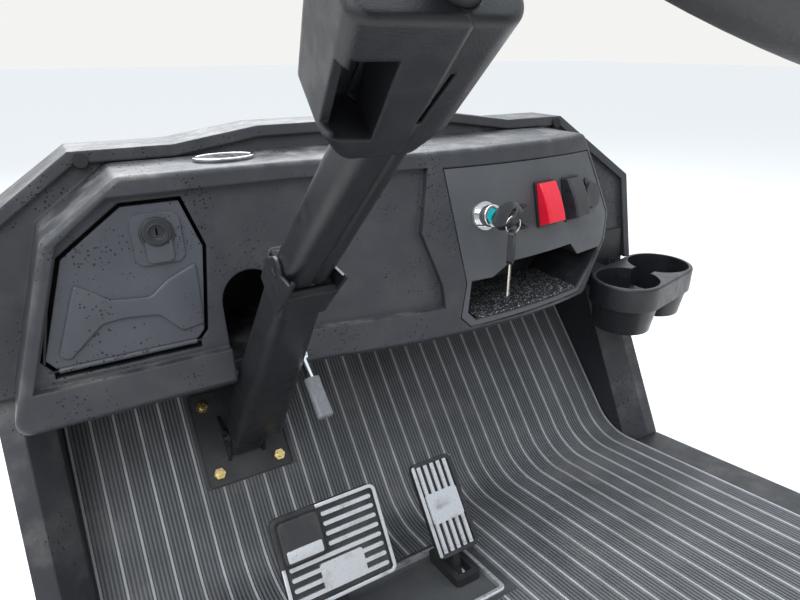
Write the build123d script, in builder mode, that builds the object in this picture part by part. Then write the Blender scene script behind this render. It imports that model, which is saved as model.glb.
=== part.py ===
"""Front cockpit of a golf cart: dash, steering column, pedals and footwell.

X runs to the passenger's side, +Y to the front of the cart and +Z up, in millimetres. X = 0 is the
cart's centre plane, Z = 0 the underside of the chassis rails and Y = 0 the middle of their bolt pattern.
"""
import os
from math import cos, radians, sin, tan

from build123d import *

os.makedirs("parts", exist_ok=True)

# Chassis rails
RAIL_X = 330.0
RAIL_WIDTH = 50.0
RAIL_HEIGHT = 60.0
RAIL_WALL = 4.0
RAIL_REAR = -367.0
BOLT_SPACING_Y = 640.0
BOLT_HOLE_R = 6.5

# Floor pan and toe board, bent from one sheet
PAN_HALF = 500.0
PAN_SHEET = 4.0
PAN_REAR = -367.0
CORNER_Y = 119.9
CORNER_Z = 84.2
FLOOR_FALL = 9.2
TOE_RISE = 47.5
CORNER_R = 100.0
BULKHEAD_Y = 352.0
BULKHEAD_SHEET = 4.0
MAT_THICK = 5.0
MAT_EDGE = 2.0

# Side mouldings of the footwell
SIDE_WIDTH = 60.0
SIDE_WALL = 4.0
SILL_DROP = 60.0
SILL_FRONT = 48.0
COWL_INSET_Y = 50.0
COWL_LEAN = 62.0
COWL_CHAMFER = 34.0

# Dash moulding; its face leans forward at the top
DASH_BOTTOM = 440.0
DASH_TOP = 712.0
DASH_LEAN = 12.8
DASH_WALL = 4.0
FACE_Y = 108.0
FACE_BOW = 34.5
FACE_LEFT = -536.0
FLANGE_DEPTH = 111.0
FLANGE_LAP = 32.0
FLANGE_HALF = PAN_HALF + SIDE_WIDTH + FLANGE_LAP
FLANGE_CORNER_Z = 607.0
RIM_HALF = 417.0
RIM_TOP = 729.0
RIM_CROWN = 17.0
RIM_WIDTH = 15.0
RIM_PROUD = 9.0
FACE_ROUND = 8.0
BODY_CORNER = 16.0
FIELD_DEPTH = 12.0
LIP_TOP = 487.0
FIELD_TOP = 690.0
RIM_PLUG_X = 404.0
RIM_PLUG_R = 7.0

# Lower steering column, measured along its axis from COLUMN_FOOT
COLUMN_X = -248.0
COLUMN_FOOT = (COLUMN_X, 215.3, 304.0)
COLUMN_RISE = 50.7
FOOT_BOLT_AT = -45.0
FOOT_BOLT_R = 6.0
FOOT_EAR_GAP = 52.0
FOOT_EAR_SHEET = 5.0
SHROUD_START = 4.0
SHROUD_END = 424.0
SHROUD_TOP_WIDTH = 50.0
SHROUD_TOP_DEPTH = 50.0
SHROUD_FOOT_WIDTH = 78.0
SHROUD_FOOT_DEPTH = 62.0
SHROUD_WALL = 3.0
SHAFT_R = 9.5
JACKET_R = 17.0
JACKET_WALL = 3.0
BUSH_LENGTH = 25.0
RUNNING_FIT = 0.05

# Upper steering column, measured along its own axis from the tilt hinge on the lower one
TILT_HINGE_AT = 452.0
UPPER_RISE = 42.8
HINGE_PIN_R = 5.0
UPPER_JACKET_R = 14.0
SLEEVE_FOOT_WIDTH = 49.0
SLEEVE_TOP_WIDTH = 43.0
SLEEVE_DEPTH = 44.0
SLEEVE_WALL = 3.0
SLEEVE_ROUND = 15.0
HOUSING_START = 220.0
HOUSING_END = 330.0
HOUSING_WALL = 3.5
WHEEL_AT = 472.0
WHEEL_R = 168.0
WHEEL_GRIP_R = 13.5

# Pedals on one cross shaft under the floor
PEDAL_SHAFT_Y = -50.0
PEDAL_SHAFT_Z = 70.0
PEDAL_SHAFT_R = 7.0
PEDAL_HUB_R = 12.5
PEDAL_ARM_WIDTH = 24.0
PEDAL_ARM_THICK = 12.0
PEDAL_SLOT_REAR = -66.0
PEDAL_SLOT_FRONT = -4.0
PEDAL_SLOT_WIDTH = 24.0
STOP_X = -211.0
STOP_WIDTH = 152.0
STOP_TOP = (10.0, 290.0)
STOP_BOTTOM = (-60.0, 190.0)
GO_X = -21.0
GO_WIDTH = 72.0
GO_TOP = (40.0, 264.0)
GO_BOTTOM = (-50.0, 155.0)
PAD_THICK = 9.0
PAD_RIB = 3.0

# Clearances
SEAT_GAP = 0.3
MOVE_GAP = 5.0

SIDES = (("left", -1), ("right", 1))


def floor_z(y):
    """Height of the pan's top face on its sloping floor."""
    return CORNER_Z + (CORNER_Y - y) * tan(radians(FLOOR_FALL))


def toe_z(y):
    """Height of the pan's top face on the toe board."""
    return CORNER_Z + (y - CORNER_Y) * tan(radians(TOE_RISE))


def lean(z):
    """How far forward the dash face lies at a height above its bottom edge."""
    return (z - DASH_BOTTOM) * tan(radians(DASH_LEAN))


COLUMN_AXIS = Vector(0, -cos(radians(COLUMN_RISE)), sin(radians(COLUMN_RISE)))
UPPER_AXIS = Vector(0, -cos(radians(UPPER_RISE)), sin(radians(UPPER_RISE)))
UPPER_BACK = Vector(0, -sin(radians(UPPER_RISE)), -cos(radians(UPPER_RISE)))
TILT_HINGE = Vector(*COLUMN_FOOT) + COLUMN_AXIS * TILT_HINGE_AT
LEAN_DIR = Vector(0, sin(radians(DASH_LEAN)), cos(radians(DASH_LEAN)))
FLOOR_PLANE = Plane(
    origin=(0, CORNER_Y, CORNER_Z),
    x_dir=(1, 0, 0),
    z_dir=(0, sin(radians(FLOOR_FALL)), cos(radians(FLOOR_FALL))),
)
TOE_PLANE = Plane(
    origin=(0, CORNER_Y, CORNER_Z),
    x_dir=(1, 0, 0),
    z_dir=(0, -sin(radians(TOE_RISE)), cos(radians(TOE_RISE))),
)


def column_plane(at, drop=0.0):
    """Plane across the lower column, its local Y pointing up and forward."""
    plane = Plane(origin=Vector(*COLUMN_FOOT) + COLUMN_AXIS * at, x_dir=(1, 0, 0), z_dir=COLUMN_AXIS)
    return Plane(origin=plane.origin - plane.y_dir * drop, x_dir=(1, 0, 0), z_dir=COLUMN_AXIS)


def upper_plane(at):
    """Plane across the upper column, its local Y pointing up and forward."""
    return Plane(origin=TILT_HINGE + UPPER_AXIS * at, x_dir=(1, 0, 0), z_dir=UPPER_AXIS)


def under_plane(drop):
    """Plane along the upper column below its axis, its local Y up the column and its normal to the seats."""
    return Plane(origin=TILT_HINGE + UPPER_BACK * drop, x_dir=(1, 0, 0), z_dir=UPPER_BACK)


def floor_v(y):
    """Distance along FLOOR_PLANE to a place that lies y ahead of the origin."""
    return (y - CORNER_Y) / cos(radians(FLOOR_FALL))


def toe_v(y):
    """Distance up TOE_PLANE to a place that lies y ahead of the origin."""
    return (y - CORNER_Y) / cos(radians(TOE_RISE))


# Chassis rails
with BuildPart() as rails:
    with BuildSketch(Plane.XZ.offset(-BULKHEAD_Y - 56)) as rail_section:
        with Locations((-RAIL_X, RAIL_HEIGHT / 2), (RAIL_X, RAIL_HEIGHT / 2)):
            RectangleRounded(RAIL_WIDTH, RAIL_HEIGHT, 5)
            Rectangle(RAIL_WIDTH - 2 * RAIL_WALL, RAIL_HEIGHT - 2 * RAIL_WALL, mode=Mode.SUBTRACT)
    extrude(amount=BULKHEAD_Y + 56 - RAIL_REAR)
    with Locations(Plane.XY):
        with GridLocations(2 * RAIL_X, BOLT_SPACING_Y, 2, 2):
            Cylinder(BOLT_HOLE_R, 3 * RAIL_WALL, mode=Mode.SUBTRACT)
rails.part.label = "chassis_rails"
export_step(rails.part, "parts/chassis_rails.step")

# Cross members between the rails and the floor
CROSS_MEMBERS = (("cross_member_rear", -358.0, -308.0), ("cross_member_front", 18.0, 62.0))
for name, y_rear, y_front in CROSS_MEMBERS:
    drop = PAN_SHEET / cos(radians(FLOOR_FALL))
    with BuildPart() as cross_member:
        with BuildSketch(Plane.YZ) as member_section:
            with BuildLine():
                Polyline(
                    (y_rear, RAIL_HEIGHT),
                    (y_front, RAIL_HEIGHT),
                    (y_front, floor_z(y_front) - drop),
                    (y_rear, floor_z(y_rear) - drop),
                    close=True,
                )
            make_face()
            offset(amount=-RAIL_WALL, mode=Mode.SUBTRACT)
        extrude(amount=PAN_HALF - 20, both=True)
    cross_member.part.label = name
    export_step(cross_member.part, f"parts/{name}.step")

# Hoop that carries the bulkhead and the dash
HOOP_TUBE = 44.0
HOOP_TOP = 640.0
HOOP_WALL = 3.0
FRONT_BOLT_R = 4.5
FRONT_BOLTS = ((-RAIL_X, 180.0), (RAIL_X, 180.0), (-RAIL_X, 580.0), (RAIL_X, 580.0))
with BuildPart() as front_hoop:
    hoop_y = BULKHEAD_Y + BULKHEAD_SHEET + HOOP_TUBE / 2
    with BuildSketch(Plane.XZ.offset(-hoop_y)) as hoop_outline:
        with Locations((0, (HOOP_TOP + RAIL_HEIGHT) / 2)):
            Rectangle(2 * RAIL_X + HOOP_TUBE, HOOP_TOP - RAIL_HEIGHT)
        with Locations((0, (HOOP_TOP - HOOP_TUBE + RAIL_HEIGHT) / 2)):
            Rectangle(2 * RAIL_X - HOOP_TUBE, HOOP_TOP - HOOP_TUBE - RAIL_HEIGHT, mode=Mode.SUBTRACT)
    extrude(amount=HOOP_TUBE / 2, both=True)
    fillet(front_hoop.edges().filter_by(Axis.Y).sort_by(Axis.Z)[4:], 6)
    # Hollow of the tube, open where its feet stand on the rails
    with BuildSketch(Plane.XZ.offset(-hoop_y)):
        with Locations((0, HOOP_TOP / 2 - HOOP_WALL)):
            Rectangle(2 * RAIL_X + HOOP_TUBE - 2 * HOOP_WALL, HOOP_TOP)
        with Locations((0, HOOP_TOP / 2 - HOOP_TUBE + HOOP_WALL)):
            Rectangle(2 * RAIL_X - HOOP_TUBE + 2 * HOOP_WALL, HOOP_TOP, mode=Mode.SUBTRACT)
    extrude(amount=HOOP_TUBE / 2 - HOOP_WALL, both=True, mode=Mode.SUBTRACT)
    # Holes for what is fastened in front of the bulkhead
    with Locations(Plane.XZ.offset(-BULKHEAD_Y)):
        with Locations(*FRONT_BOLTS):
            Cylinder(FRONT_BOLT_R, 4 * HOOP_TUBE, mode=Mode.SUBTRACT)
front_hoop.part.label = "front_hoop"
export_step(front_hoop.part, "parts/front_hoop.step")

# Openings that the pan and the mat share
CUTOUT_LEFT = -318.0
CUTOUT_RIGHT = -178.0
CUTOUT_REAR = 222.0
CUTOUT_FRONT = 329.0
SHAFT_HOLE_R = JACKET_R + 3.0
SHAFT_HOLE_Y = 265.0
PEDAL_TRIM_LEFT = -296.0
PEDAL_TRIM_RIGHT = 14.0
PEDAL_TRIM_REAR = -120.0
PEDAL_TRIM_FRONT = 18.0
PEDAL_TRIM_BAR = 7.0
PEDAL_TRIM_HEIGHT = 8.0

# Floor pan
with BuildPart() as floor_pan:
    with BuildSketch(Plane.YZ) as pan_section:
        with BuildLine() as pan_line:
            FilletPolyline(
                (PAN_REAR, floor_z(PAN_REAR)),
                (CORNER_Y, CORNER_Z),
                (BULKHEAD_Y, toe_z(BULKHEAD_Y)),
                radius=CORNER_R,
            )
            offset(amount=PAN_SHEET, side=Side.RIGHT)
        make_face()
    extrude(amount=PAN_HALF, both=True)
    with BuildSketch(FLOOR_PLANE) as pedal_slots:
        slot_mid = (PEDAL_SLOT_REAR + PEDAL_SLOT_FRONT) / 2
        with Locations((STOP_X, floor_v(slot_mid)), (GO_X, floor_v(slot_mid))):
            Rectangle(PEDAL_SLOT_WIDTH, PEDAL_SLOT_FRONT - PEDAL_SLOT_REAR)
    extrude(amount=3 * PAN_SHEET, both=True, mode=Mode.SUBTRACT)
    with BuildSketch(TOE_PLANE) as shaft_hole:
        with Locations((COLUMN_X, toe_v(SHAFT_HOLE_Y))):
            Circle(SHAFT_HOLE_R)
    extrude(amount=3 * PAN_SHEET, both=True, mode=Mode.SUBTRACT)
    # The bent end meets the bulkhead's flat face
    split(bisect_by=Plane.XZ.offset(-BULKHEAD_Y), keep=Keep.TOP)
floor_pan.part.label = "floor_pan"
export_step(floor_pan.part, "parts/floor_pan.step")

# Rubber mat on the pan
with BuildPart() as floor_mat:
    with BuildSketch(Plane.YZ) as mat_section:
        with BuildLine() as mat_line:
            FilletPolyline(
                (PAN_REAR + MAT_EDGE, floor_z(PAN_REAR + MAT_EDGE)),
                (CORNER_Y, CORNER_Z),
                (BULKHEAD_Y - 2 * MAT_THICK, toe_z(BULKHEAD_Y - 2 * MAT_THICK)),
                radius=CORNER_R,
            )
            offset(amount=MAT_THICK, side=Side.LEFT)
        make_face()
    extrude(amount=PAN_HALF - MAT_EDGE, both=True)
    with BuildSketch(TOE_PLANE) as mat_cutout:
        with Locations(((CUTOUT_LEFT + CUTOUT_RIGHT) / 2, (toe_v(CUTOUT_REAR) + toe_v(CUTOUT_FRONT)) / 2)):
            RectangleRounded(CUTOUT_RIGHT - CUTOUT_LEFT, toe_v(CUTOUT_FRONT) - toe_v(CUTOUT_REAR), 6)
    extrude(amount=3 * MAT_THICK, both=True, mode=Mode.SUBTRACT)
    with BuildSketch(FLOOR_PLANE) as mat_opening:
        with Locations(
            (
                (PEDAL_TRIM_LEFT + PEDAL_TRIM_RIGHT) / 2,
                (floor_v(PEDAL_TRIM_REAR) + floor_v(PEDAL_TRIM_FRONT)) / 2,
            )
        ):
            RectangleRounded(
                PEDAL_TRIM_RIGHT - PEDAL_TRIM_LEFT, floor_v(PEDAL_TRIM_FRONT) - floor_v(PEDAL_TRIM_REAR), 12
            )
    extrude(amount=3 * MAT_THICK, both=True, mode=Mode.SUBTRACT)
floor_mat.part.label = "floor_mat"
export_step(floor_mat.part, "parts/floor_mat.step")

# Bright bead round the pedal opening
with BuildPart() as pedal_trim:
    with BuildSketch(FLOOR_PLANE) as trim_ring:
        with Locations(
            (
                (PEDAL_TRIM_LEFT + PEDAL_TRIM_RIGHT) / 2,
                (floor_v(PEDAL_TRIM_REAR) + floor_v(PEDAL_TRIM_FRONT)) / 2,
            )
        ):
            trim_width = PEDAL_TRIM_RIGHT - PEDAL_TRIM_LEFT - 2 * SEAT_GAP
            trim_length = floor_v(PEDAL_TRIM_FRONT) - floor_v(PEDAL_TRIM_REAR) - 2 * SEAT_GAP
            RectangleRounded(trim_width, trim_length, 11)
            RectangleRounded(
                trim_width - 2 * PEDAL_TRIM_BAR, trim_length - 2 * PEDAL_TRIM_BAR, 5, mode=Mode.SUBTRACT
            )
    extrude(amount=PEDAL_TRIM_HEIGHT)
    fillet(pedal_trim.faces().sort_by(Axis.Z)[-1].edges(), 2.5)
pedal_trim.part.label = "pedal_trim"
export_step(pedal_trim.part, "parts/pedal_trim.step")

# Sills beside the floor and cowls beside the toe board
for side, sign in SIDES:
    with BuildPart() as sill:
        with BuildSketch(Plane.YZ.offset(sign * PAN_HALF)) as sill_side:
            with BuildLine():
                Polyline(
                    (PAN_REAR, floor_z(PAN_REAR) + MAT_THICK),
                    (SILL_FRONT, floor_z(SILL_FRONT) + MAT_THICK),
                    (SILL_FRONT, floor_z(SILL_FRONT) + MAT_THICK - SILL_DROP),
                    (PAN_REAR, floor_z(PAN_REAR) + MAT_THICK - SILL_DROP),
                    close=True,
                )
            make_face()
        extrude(amount=sign * SIDE_WIDTH)
        top_outer = sill.faces().sort_by(Axis.Z)[-1].edges().sort_by(Axis.X)[-1 if sign > 0 else 0]
        fillet(top_outer, 10)
        with BuildSketch(Plane.YZ.offset(sign * (PAN_HALF + SIDE_WALL))) as sill_hollow:
            with BuildLine():
                Polyline(
                    (PAN_REAR + SIDE_WALL, floor_z(PAN_REAR + SIDE_WALL) + MAT_THICK - SIDE_WALL),
                    (SILL_FRONT - SIDE_WALL, floor_z(SILL_FRONT - SIDE_WALL) + MAT_THICK - SIDE_WALL),
                    (SILL_FRONT - SIDE_WALL, floor_z(SILL_FRONT) - 2 * SILL_DROP),
                    (PAN_REAR + SIDE_WALL, floor_z(PAN_REAR) - 2 * SILL_DROP),
                    close=True,
                )
            make_face()
        extrude(amount=sign * (SIDE_WIDTH - 2 * SIDE_WALL), mode=Mode.SUBTRACT)
    sill.part.label = f"sill_{side}"
    export_step(sill.part, f"parts/sill_{side}.step")

    with BuildPart() as side_cowl:
        cowl_top_y = COWL_INSET_Y + (DASH_BOTTOM - floor_z(COWL_INSET_Y)) / tan(radians(COWL_LEAN))
        with BuildSketch(Plane.YZ.offset(sign * PAN_HALF)) as cowl_side:
            with BuildLine():
                Polyline(
                    (COWL_INSET_Y, floor_z(COWL_INSET_Y) + MAT_THICK),
                    (cowl_top_y, DASH_BOTTOM),
                    (BULKHEAD_Y, DASH_BOTTOM),
                    (BULKHEAD_Y, toe_z(BULKHEAD_Y) - 3 * PAN_SHEET),
                    (CORNER_Y, CORNER_Z - 3 * PAN_SHEET),
                    (COWL_INSET_Y, floor_z(COWL_INSET_Y) - 3 * PAN_SHEET),
                    close=True,
                )
            make_face()
        extrude(amount=sign * SIDE_WIDTH)
        lead_face = side_cowl.faces().filter_by(lambda f: abs(f.normal_at().X) < 0.1 and f.normal_at().Y < -0.5)
        lead_face = lead_face.sort_by(SortBy.AREA)[-1]
        chamfer(lead_face.edges().sort_by(Axis.X)[0 if sign > 0 else -1], COWL_CHAMFER)
        # Hollow, open below and towards the bulkhead
        with BuildSketch(Plane.YZ.offset(sign * (PAN_HALF + SIDE_WALL))):
            with BuildLine():
                hollow_set = COWL_CHAMFER + 2 * SIDE_WALL
                Polyline(
                    (COWL_INSET_Y + hollow_set, floor_z(COWL_INSET_Y) - 4 * PAN_SHEET - hollow_set),
                    (COWL_INSET_Y + hollow_set, floor_z(COWL_INSET_Y)),
                    (cowl_top_y + hollow_set - 4 * SIDE_WALL / tan(radians(COWL_LEAN)), DASH_BOTTOM - 4 * SIDE_WALL),
                    (BULKHEAD_Y + SIDE_WALL, DASH_BOTTOM - 4 * SIDE_WALL),
                    (BULKHEAD_Y + SIDE_WALL, 0),
                    close=True,
                )
            make_face()
        extrude(amount=sign * (SIDE_WIDTH - 2 * SIDE_WALL), mode=Mode.SUBTRACT)
    side_cowl.part.label = f"side_cowl_{side}"
    export_step(side_cowl.part, f"parts/side_cowl_{side}.step")

# Outline of the bulkhead and of the dash's front skin, seen from the driver's seat
CROWN_HALF = 170.0
CROWN_RUN = 290.0


def skin_outline(inset=0.0):
    """Outline of the cowl skin, drawn flat, its second axis standing for Z."""
    with BuildSketch() as outline:
        with BuildLine():
            Polyline(
                (-FLANGE_HALF, DASH_BOTTOM),
                (-FLANGE_HALF, FLANGE_CORNER_Z),
                (-RIM_HALF, RIM_TOP),
                (-CROWN_RUN, RIM_TOP),
                (-CROWN_HALF, RIM_TOP + RIM_CROWN),
                (CROWN_HALF, RIM_TOP + RIM_CROWN),
                (CROWN_RUN, RIM_TOP),
                (RIM_HALF, RIM_TOP),
                (FLANGE_HALF, FLANGE_CORNER_Z),
                (FLANGE_HALF, DASH_BOTTOM),
                close=True,
            )
        make_face()
        if inset:
            offset(amount=-inset, kind=Kind.INTERSECTION)
    return outline.sketch


# Bulkhead sheet in front of the dash
with BuildPart() as bulkhead:
    with BuildSketch(Plane.XZ.offset(-BULKHEAD_Y)) as bulkhead_outline:
        add(skin_outline())
        with Locations((0, (DASH_BOTTOM + toe_z(BULKHEAD_Y) - 3 * PAN_SHEET) / 2)):
            Rectangle(2 * (PAN_HALF + SIDE_WIDTH), DASH_BOTTOM - toe_z(BULKHEAD_Y) + 3 * PAN_SHEET)
        with Locations(*[spot for spot in FRONT_BOLTS if spot[1] > DASH_BOTTOM]):
            Circle(FRONT_BOLT_R, mode=Mode.SUBTRACT)
    extrude(amount=-BULKHEAD_SHEET)
bulkhead.part.label = "bulkhead"
export_step(bulkhead.part, "parts/bulkhead.step")

# Plan of the dash body: flat on the driver's side, bowed towards the seats on the rest
BOW_START = -150.0
BOW_MID = 111.0
BOW_END = 470.0
BOW_RETURN = 32.0
BOW_BLEND = 260.0
bow_line = ThreePointArc((BOW_START, FACE_Y), (BOW_MID, FACE_Y - FACE_BOW), (BOW_END, FACE_Y + BOW_RETURN))
BOW_CENTRE = bow_line.arc_center
BOW_RADIUS = bow_line.radius


def body_plan(set_back, left, right, front_y):
    """Plan of the dash body at its bottom edge, its face set back by a wall or a recess."""
    with BuildSketch() as plan:
        with BuildLine():
            face_line = Line((left, FACE_Y + set_back), (BOW_START, FACE_Y + set_back))
            bow = ThreePointArc(
                face_line @ 1,
                (BOW_MID, FACE_Y - FACE_BOW + set_back),
                (BOW_END, FACE_Y + BOW_RETURN + set_back),
            )
            Polyline(
                bow @ 1,
                (right, FACE_Y + 2 * BOW_RETURN + set_back),
                (right, front_y),
                (left, front_y),
                face_line @ 0,
            )
        make_face()
        fillet(plan.vertices().sort_by_distance((BOW_START, FACE_Y + set_back))[0], BOW_BLEND)
    return plan.sketch


def outline(points, growth=0.0, corner=0.0):
    """Face from a table of X and Z, moved outwards by a gap and with round corners where they are given."""
    with BuildSketch() as shape:
        with BuildLine():
            Polyline(*points, close=True)
        make_face()
        if growth:
            offset(amount=growth, kind=Kind.INTERSECTION)
        if corner:
            fillet(shape.vertices(), corner)
    return shape.sketch


BODY_OUTLINE = (
    (FACE_LEFT, DASH_BOTTOM),
    (-467.0, 649.0),
    (-376.0, DASH_TOP),
    (374.0, DASH_TOP),
    (450.0, 566.0),
    (432.0, 520.0),
    (344.0, DASH_BOTTOM),
)


def face_block(shape, depth, depth_end=None):
    """Leaning block behind the dash face, cut to a sketch in X and Z, from one depth to another."""
    with BuildPart() as block:
        with BuildSketch(Plane.XY.offset(DASH_BOTTOM)):
            add(body_plan(depth, -FLANGE_HALF, FLANGE_HALF, BULKHEAD_Y))
            if depth_end is not None:
                add(body_plan(depth_end, -FLANGE_HALF, FLANGE_HALF, BULKHEAD_Y), mode=Mode.SUBTRACT)
        extrude(amount=(DASH_TOP + 10 - DASH_BOTTOM) / cos(radians(DASH_LEAN)), dir=LEAN_DIR)
        with BuildSketch(Plane.XZ):
            add(shape)
        extrude(amount=-BULKHEAD_Y, mode=Mode.INTERSECT)
    return block.part


def face_y(x, z, depth=0.0):
    """Where the dash face lies at a place seen from the seats."""
    if x <= BOW_START:
        at = FACE_Y
    else:
        at = BOW_CENTRE.Y - (BOW_RADIUS**2 - (x - BOW_CENTRE.X) ** 2) ** 0.5
    return at + lean(z) + depth


def face_plane(x, z, depth=0.0):
    """Plane that lies on the dash face, its normal towards the seats."""
    here = Vector(x, face_y(x, z, depth), z)
    along_x = Vector(x + 1, face_y(x + 1, z, depth), z) - here
    normal = along_x.cross(LEAN_DIR)
    return Plane(origin=here, x_dir=along_x, z_dir=normal)


FIELD = (
    (-391.0, FIELD_TOP),
    (28.0, FIELD_TOP),
    (8.0, 600.0),
    (34.0, 520.0),
    (34.0, LIP_TOP),
    (-506.0, LIP_TOP),
    (-452.0, 645.0),
)
DOOR = (
    (-377.0, 676.0),
    (-311.0, 676.0),
    (-292.0, 618.0),
    (-308.0, 516.0),
    (-317.0, 507.0),
    (-478.0, 507.0),
    (-487.0, 518.0),
    (-450.0, 626.0),
)
SWITCH_PANEL = (
    (54.0, 686.0),
    (378.0, 682.0),
    (438.0, 566.0),
    (420.0, 524.0),
    (326.0, 452.0),
    (76.0, 452.0),
    (60.0, 468.0),
    (76.0, 518.0),
)
CUBBY = (
    (84.0, 520.0),
    (124.0, 519.0),
    (164.0, 537.0),
    (312.0, 537.0),
    (330.0, 516.0),
    (402.0, 513.0),
    (393.0, 502.0),
    (322.0, 458.0),
    (86.0, 459.0),
    (72.0, 474.0),
)


COLUMN_SLOT_LEFT = -280.0
COLUMN_SLOT_RIGHT = -200.0
COLUMN_SLOT_TOP = 580.0
COLUMN_SLOT_DEPTH = 60.0
PANEL_GAP = 2.0
PANEL_THICK = 4.0
PANEL_LEDGE = 8.0
RIM_PLUG_Z = 717.0
RIM_PLUG_PLANES = [
    Plane(
        origin=(x, FACE_Y + FLANGE_DEPTH - RIM_PROUD + lean(RIM_PLUG_Z), RIM_PLUG_Z),
        x_dir=(1, 0, 0),
        z_dir=Vector(1, 0, 0).cross(LEAN_DIR),
    )
    for x in (-RIM_PLUG_X, RIM_PLUG_X)
]
BADGE_AT = (-236.0, 226.0)
BADGE_LENGTH = 76.0
BADGE_WIDTH = 46.0
BADGE_THICK = 4.0

DOOR_THICK = 4.0
DOOR_ROLL_LEFT = -476.0
DOOR_ROLL_RIGHT = -319.0
DOOR_PIN_R = 1.5
HINGE_BARREL_R = 3.2
HINGE_Z = 502.6
HINGE_MID_X = -397.5
HINGE_PIN_LENGTH = 178.0
HINGE_Y = face_y(HINGE_MID_X, HINGE_Z, FIELD_DEPTH + 2.0)
LOCK_AT = (-343.0, 643.0)
LOCK_PAD_WIDTH = 58.0
LOCK_PAD_HEIGHT = 62.0
LOCK_PAD_PROUD = 3.0
LOCK_COLLAR_R = 17.5
LOCK_COLLAR_HEIGHT = 5.0
LOCK_BARREL_R = 11.0
BIN = (
    (-380.0, 686.0),
    (-304.0, 686.0),
    (-282.0, 620.0),
    (-300.0, 491.0),
    (-496.0, 491.0),
    (-462.0, 632.0),
)
ROLL_NOTCH = (
    (DOOR_ROLL_LEFT - 5.0, 494.0),
    (DOOR_ROLL_LEFT - 5.0, 510.0),
    (DOOR_ROLL_RIGHT + 5.0, 510.0),
    (DOOR_ROLL_RIGHT + 5.0, 494.0),
)
BIN_WALL = 3.0
BIN_DEPTH = 118.0
CUBBY_DEPTH = 128.0
LINER = ((90.0, 459.5), (320.0, 458.5), (320.0, 462.0), (90.0, 463.0))

# Controls on the switch panel: X, Z and the radius of the body behind it
ROUND_CONTROLS = ((117.0, 613.0, 15.0), (196.0, 601.0, 12.0), (374.0, 608.0, 17.0))
ROCKERS = ((248.0, 614.0), (318.0, 612.0))
ROCKER_BODY_WIDTH = 40.0
ROCKER_BODY_HEIGHT = 60.0
ROCKER_TOP_PROUD = 8.0
ROCKER_MID_PROUD = 15.0
ROCKER_FOOT_PROUD = 22.0
LAMP_PROUD = 24.0
LENS_R = 12.0
LENS_DEEP = 10.0
KEY_THICK = 2.4
KEY_BLADE = 8.0
KEY_TURN = 40.0
KEY_IN = 6.0
KEY_HEAD_WIDTH = 44.0
KEY_HEAD_LENGTH = 52.0
KEY_HEAD_THICK = 9.0
KEY_HEAD_START = 5.0
HANG_TURN = 55.0
HANG_HEAD_WIDTH = 20.0
HANG_HEAD_LENGTH = 52.0
HANG_HEAD_THICK = 8.0
HANG_BLADE_LENGTH = 50.0
HANG_HOLE_R = 3.5

# Cup holder
CUP_WELLS = ((468.0, 110.0), (590.0, 138.0))
CUP_TRAY_R = 66.0
CUP_WELL_R = 61.0
CUP_TOP = 446.0
CUP_TRAY_BOTTOM = 401.0
CUP_BOTTOM = 350.0
CUP_ARM_LEFT = 438.0
CUP_ARM_RIGHT = 496.0
CUP_PLATE_Y = FACE_Y + FLANGE_DEPTH
CUP_PLATE_TOP = 500.0
CUP_PLATE_RIGHT = 574.0
CUP_NOTCH_R = 20.0
CUP_NOTCH_DEEP = 40.0

# Foot of the column
BRACKET_WIDTH = 134.0
BRACKET_SHEET = 4.0
BRACKET_BOLT_R = 5.0
BRACKET_BOLTS = ((-50.0, 236.0), (50.0, 236.0), (-50.0, 312.0), (50.0, 312.0))
EAR_REAR_Y = 245.0
EAR_FRONT_Y = 300.0
EAR_R = 13.0
FOOT_LENGTH = 40.0
FOOT_WIDTH = FOOT_EAR_GAP - 2 * SEAT_GAP
FOOT_BOLT = Vector(*COLUMN_FOOT) + COLUMN_AXIS * FOOT_BOLT_AT
JACKET_BOTTOM = -100.0
JACKET_TOP = 428.0
SHROUD_FOOT_SHIFT = 10.0
LEVER_SLOT = (214.0, 242.0)
LEVER_SLOT_HEIGHT = 18.0

# Collar with the two cheeks that carry the hinge pins of the upper column
CHEEK_GAP = 0.6
CHEEK_SHEET = 3.4
CHEEK_R = 15.0
COLLAR_START = 408.0
COLLAR_FRONT = 29.0
SADDLE_GAP = 5.0
SADDLE_SHEET = 3.5
SADDLE_TOP = 42.0
SADDLE_FOOT = -40.0
SADDLE_DIP_R = 44.0
KNUCKLE_R = SLEEVE_DEPTH / 2
KNUCKLE_GAP = 1.5
HINGE_PIN_OUT = 1.5

# Head of the column: place along it, left, right, up and down, each from its axis
HOUSING_SECTIONS = (
    (HOUSING_START, -40.0, 30.0, 26.0, -24.0),
    (240.0, -55.0, 41.0, 35.0, -24.0),
    (HOUSING_END, -66.0, 44.0, 50.0, -22.0),
)
HOUSING_ROUNDS = (11.0, 22.0, 13.0, 13.0)
POCKET = ((-49.0, 241.0), (-57.0, 303.0), (-29.0, 303.0), (-23.0, 238.0))
POCKET_DEEP = -10.0
POCKET_LIP = ((-90.0, 246.0), (-44.0, 246.0), (-50.0, 296.0), (-90.0, 296.0))
POCKET_LIP_AT = 14.0
SLOT = ((2.4, 251.0), (6.2, 293.0), (10.6, 293.0), (6.8, 251.0))
SLOT_DEEP = 8.0
SEAM = ((5.0, -24.0), (-66.0, 50.0))
SEAM_GAP = 0.15
LEVER_DX = 44.0
LEVER_R = 4.5
LEVER_BOSS_LENGTH = 11.0
LEVER_ROOT_AT = (228.0, 0.0)
LEVER_ELBOW_AT = (232.0, 36.0)
LEVER_TIP_AT = (232.0, 90.0)
UPPER_JACKET_BOTTOM = 26.0
UPPER_JACKET_TOP = 436.0
LOWER_SHAFT_BOTTOM = -150.0
LOWER_SHAFT_TOP = TILT_HINGE_AT - 8.0
UPPER_SHAFT_BOTTOM = 6.0
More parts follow.
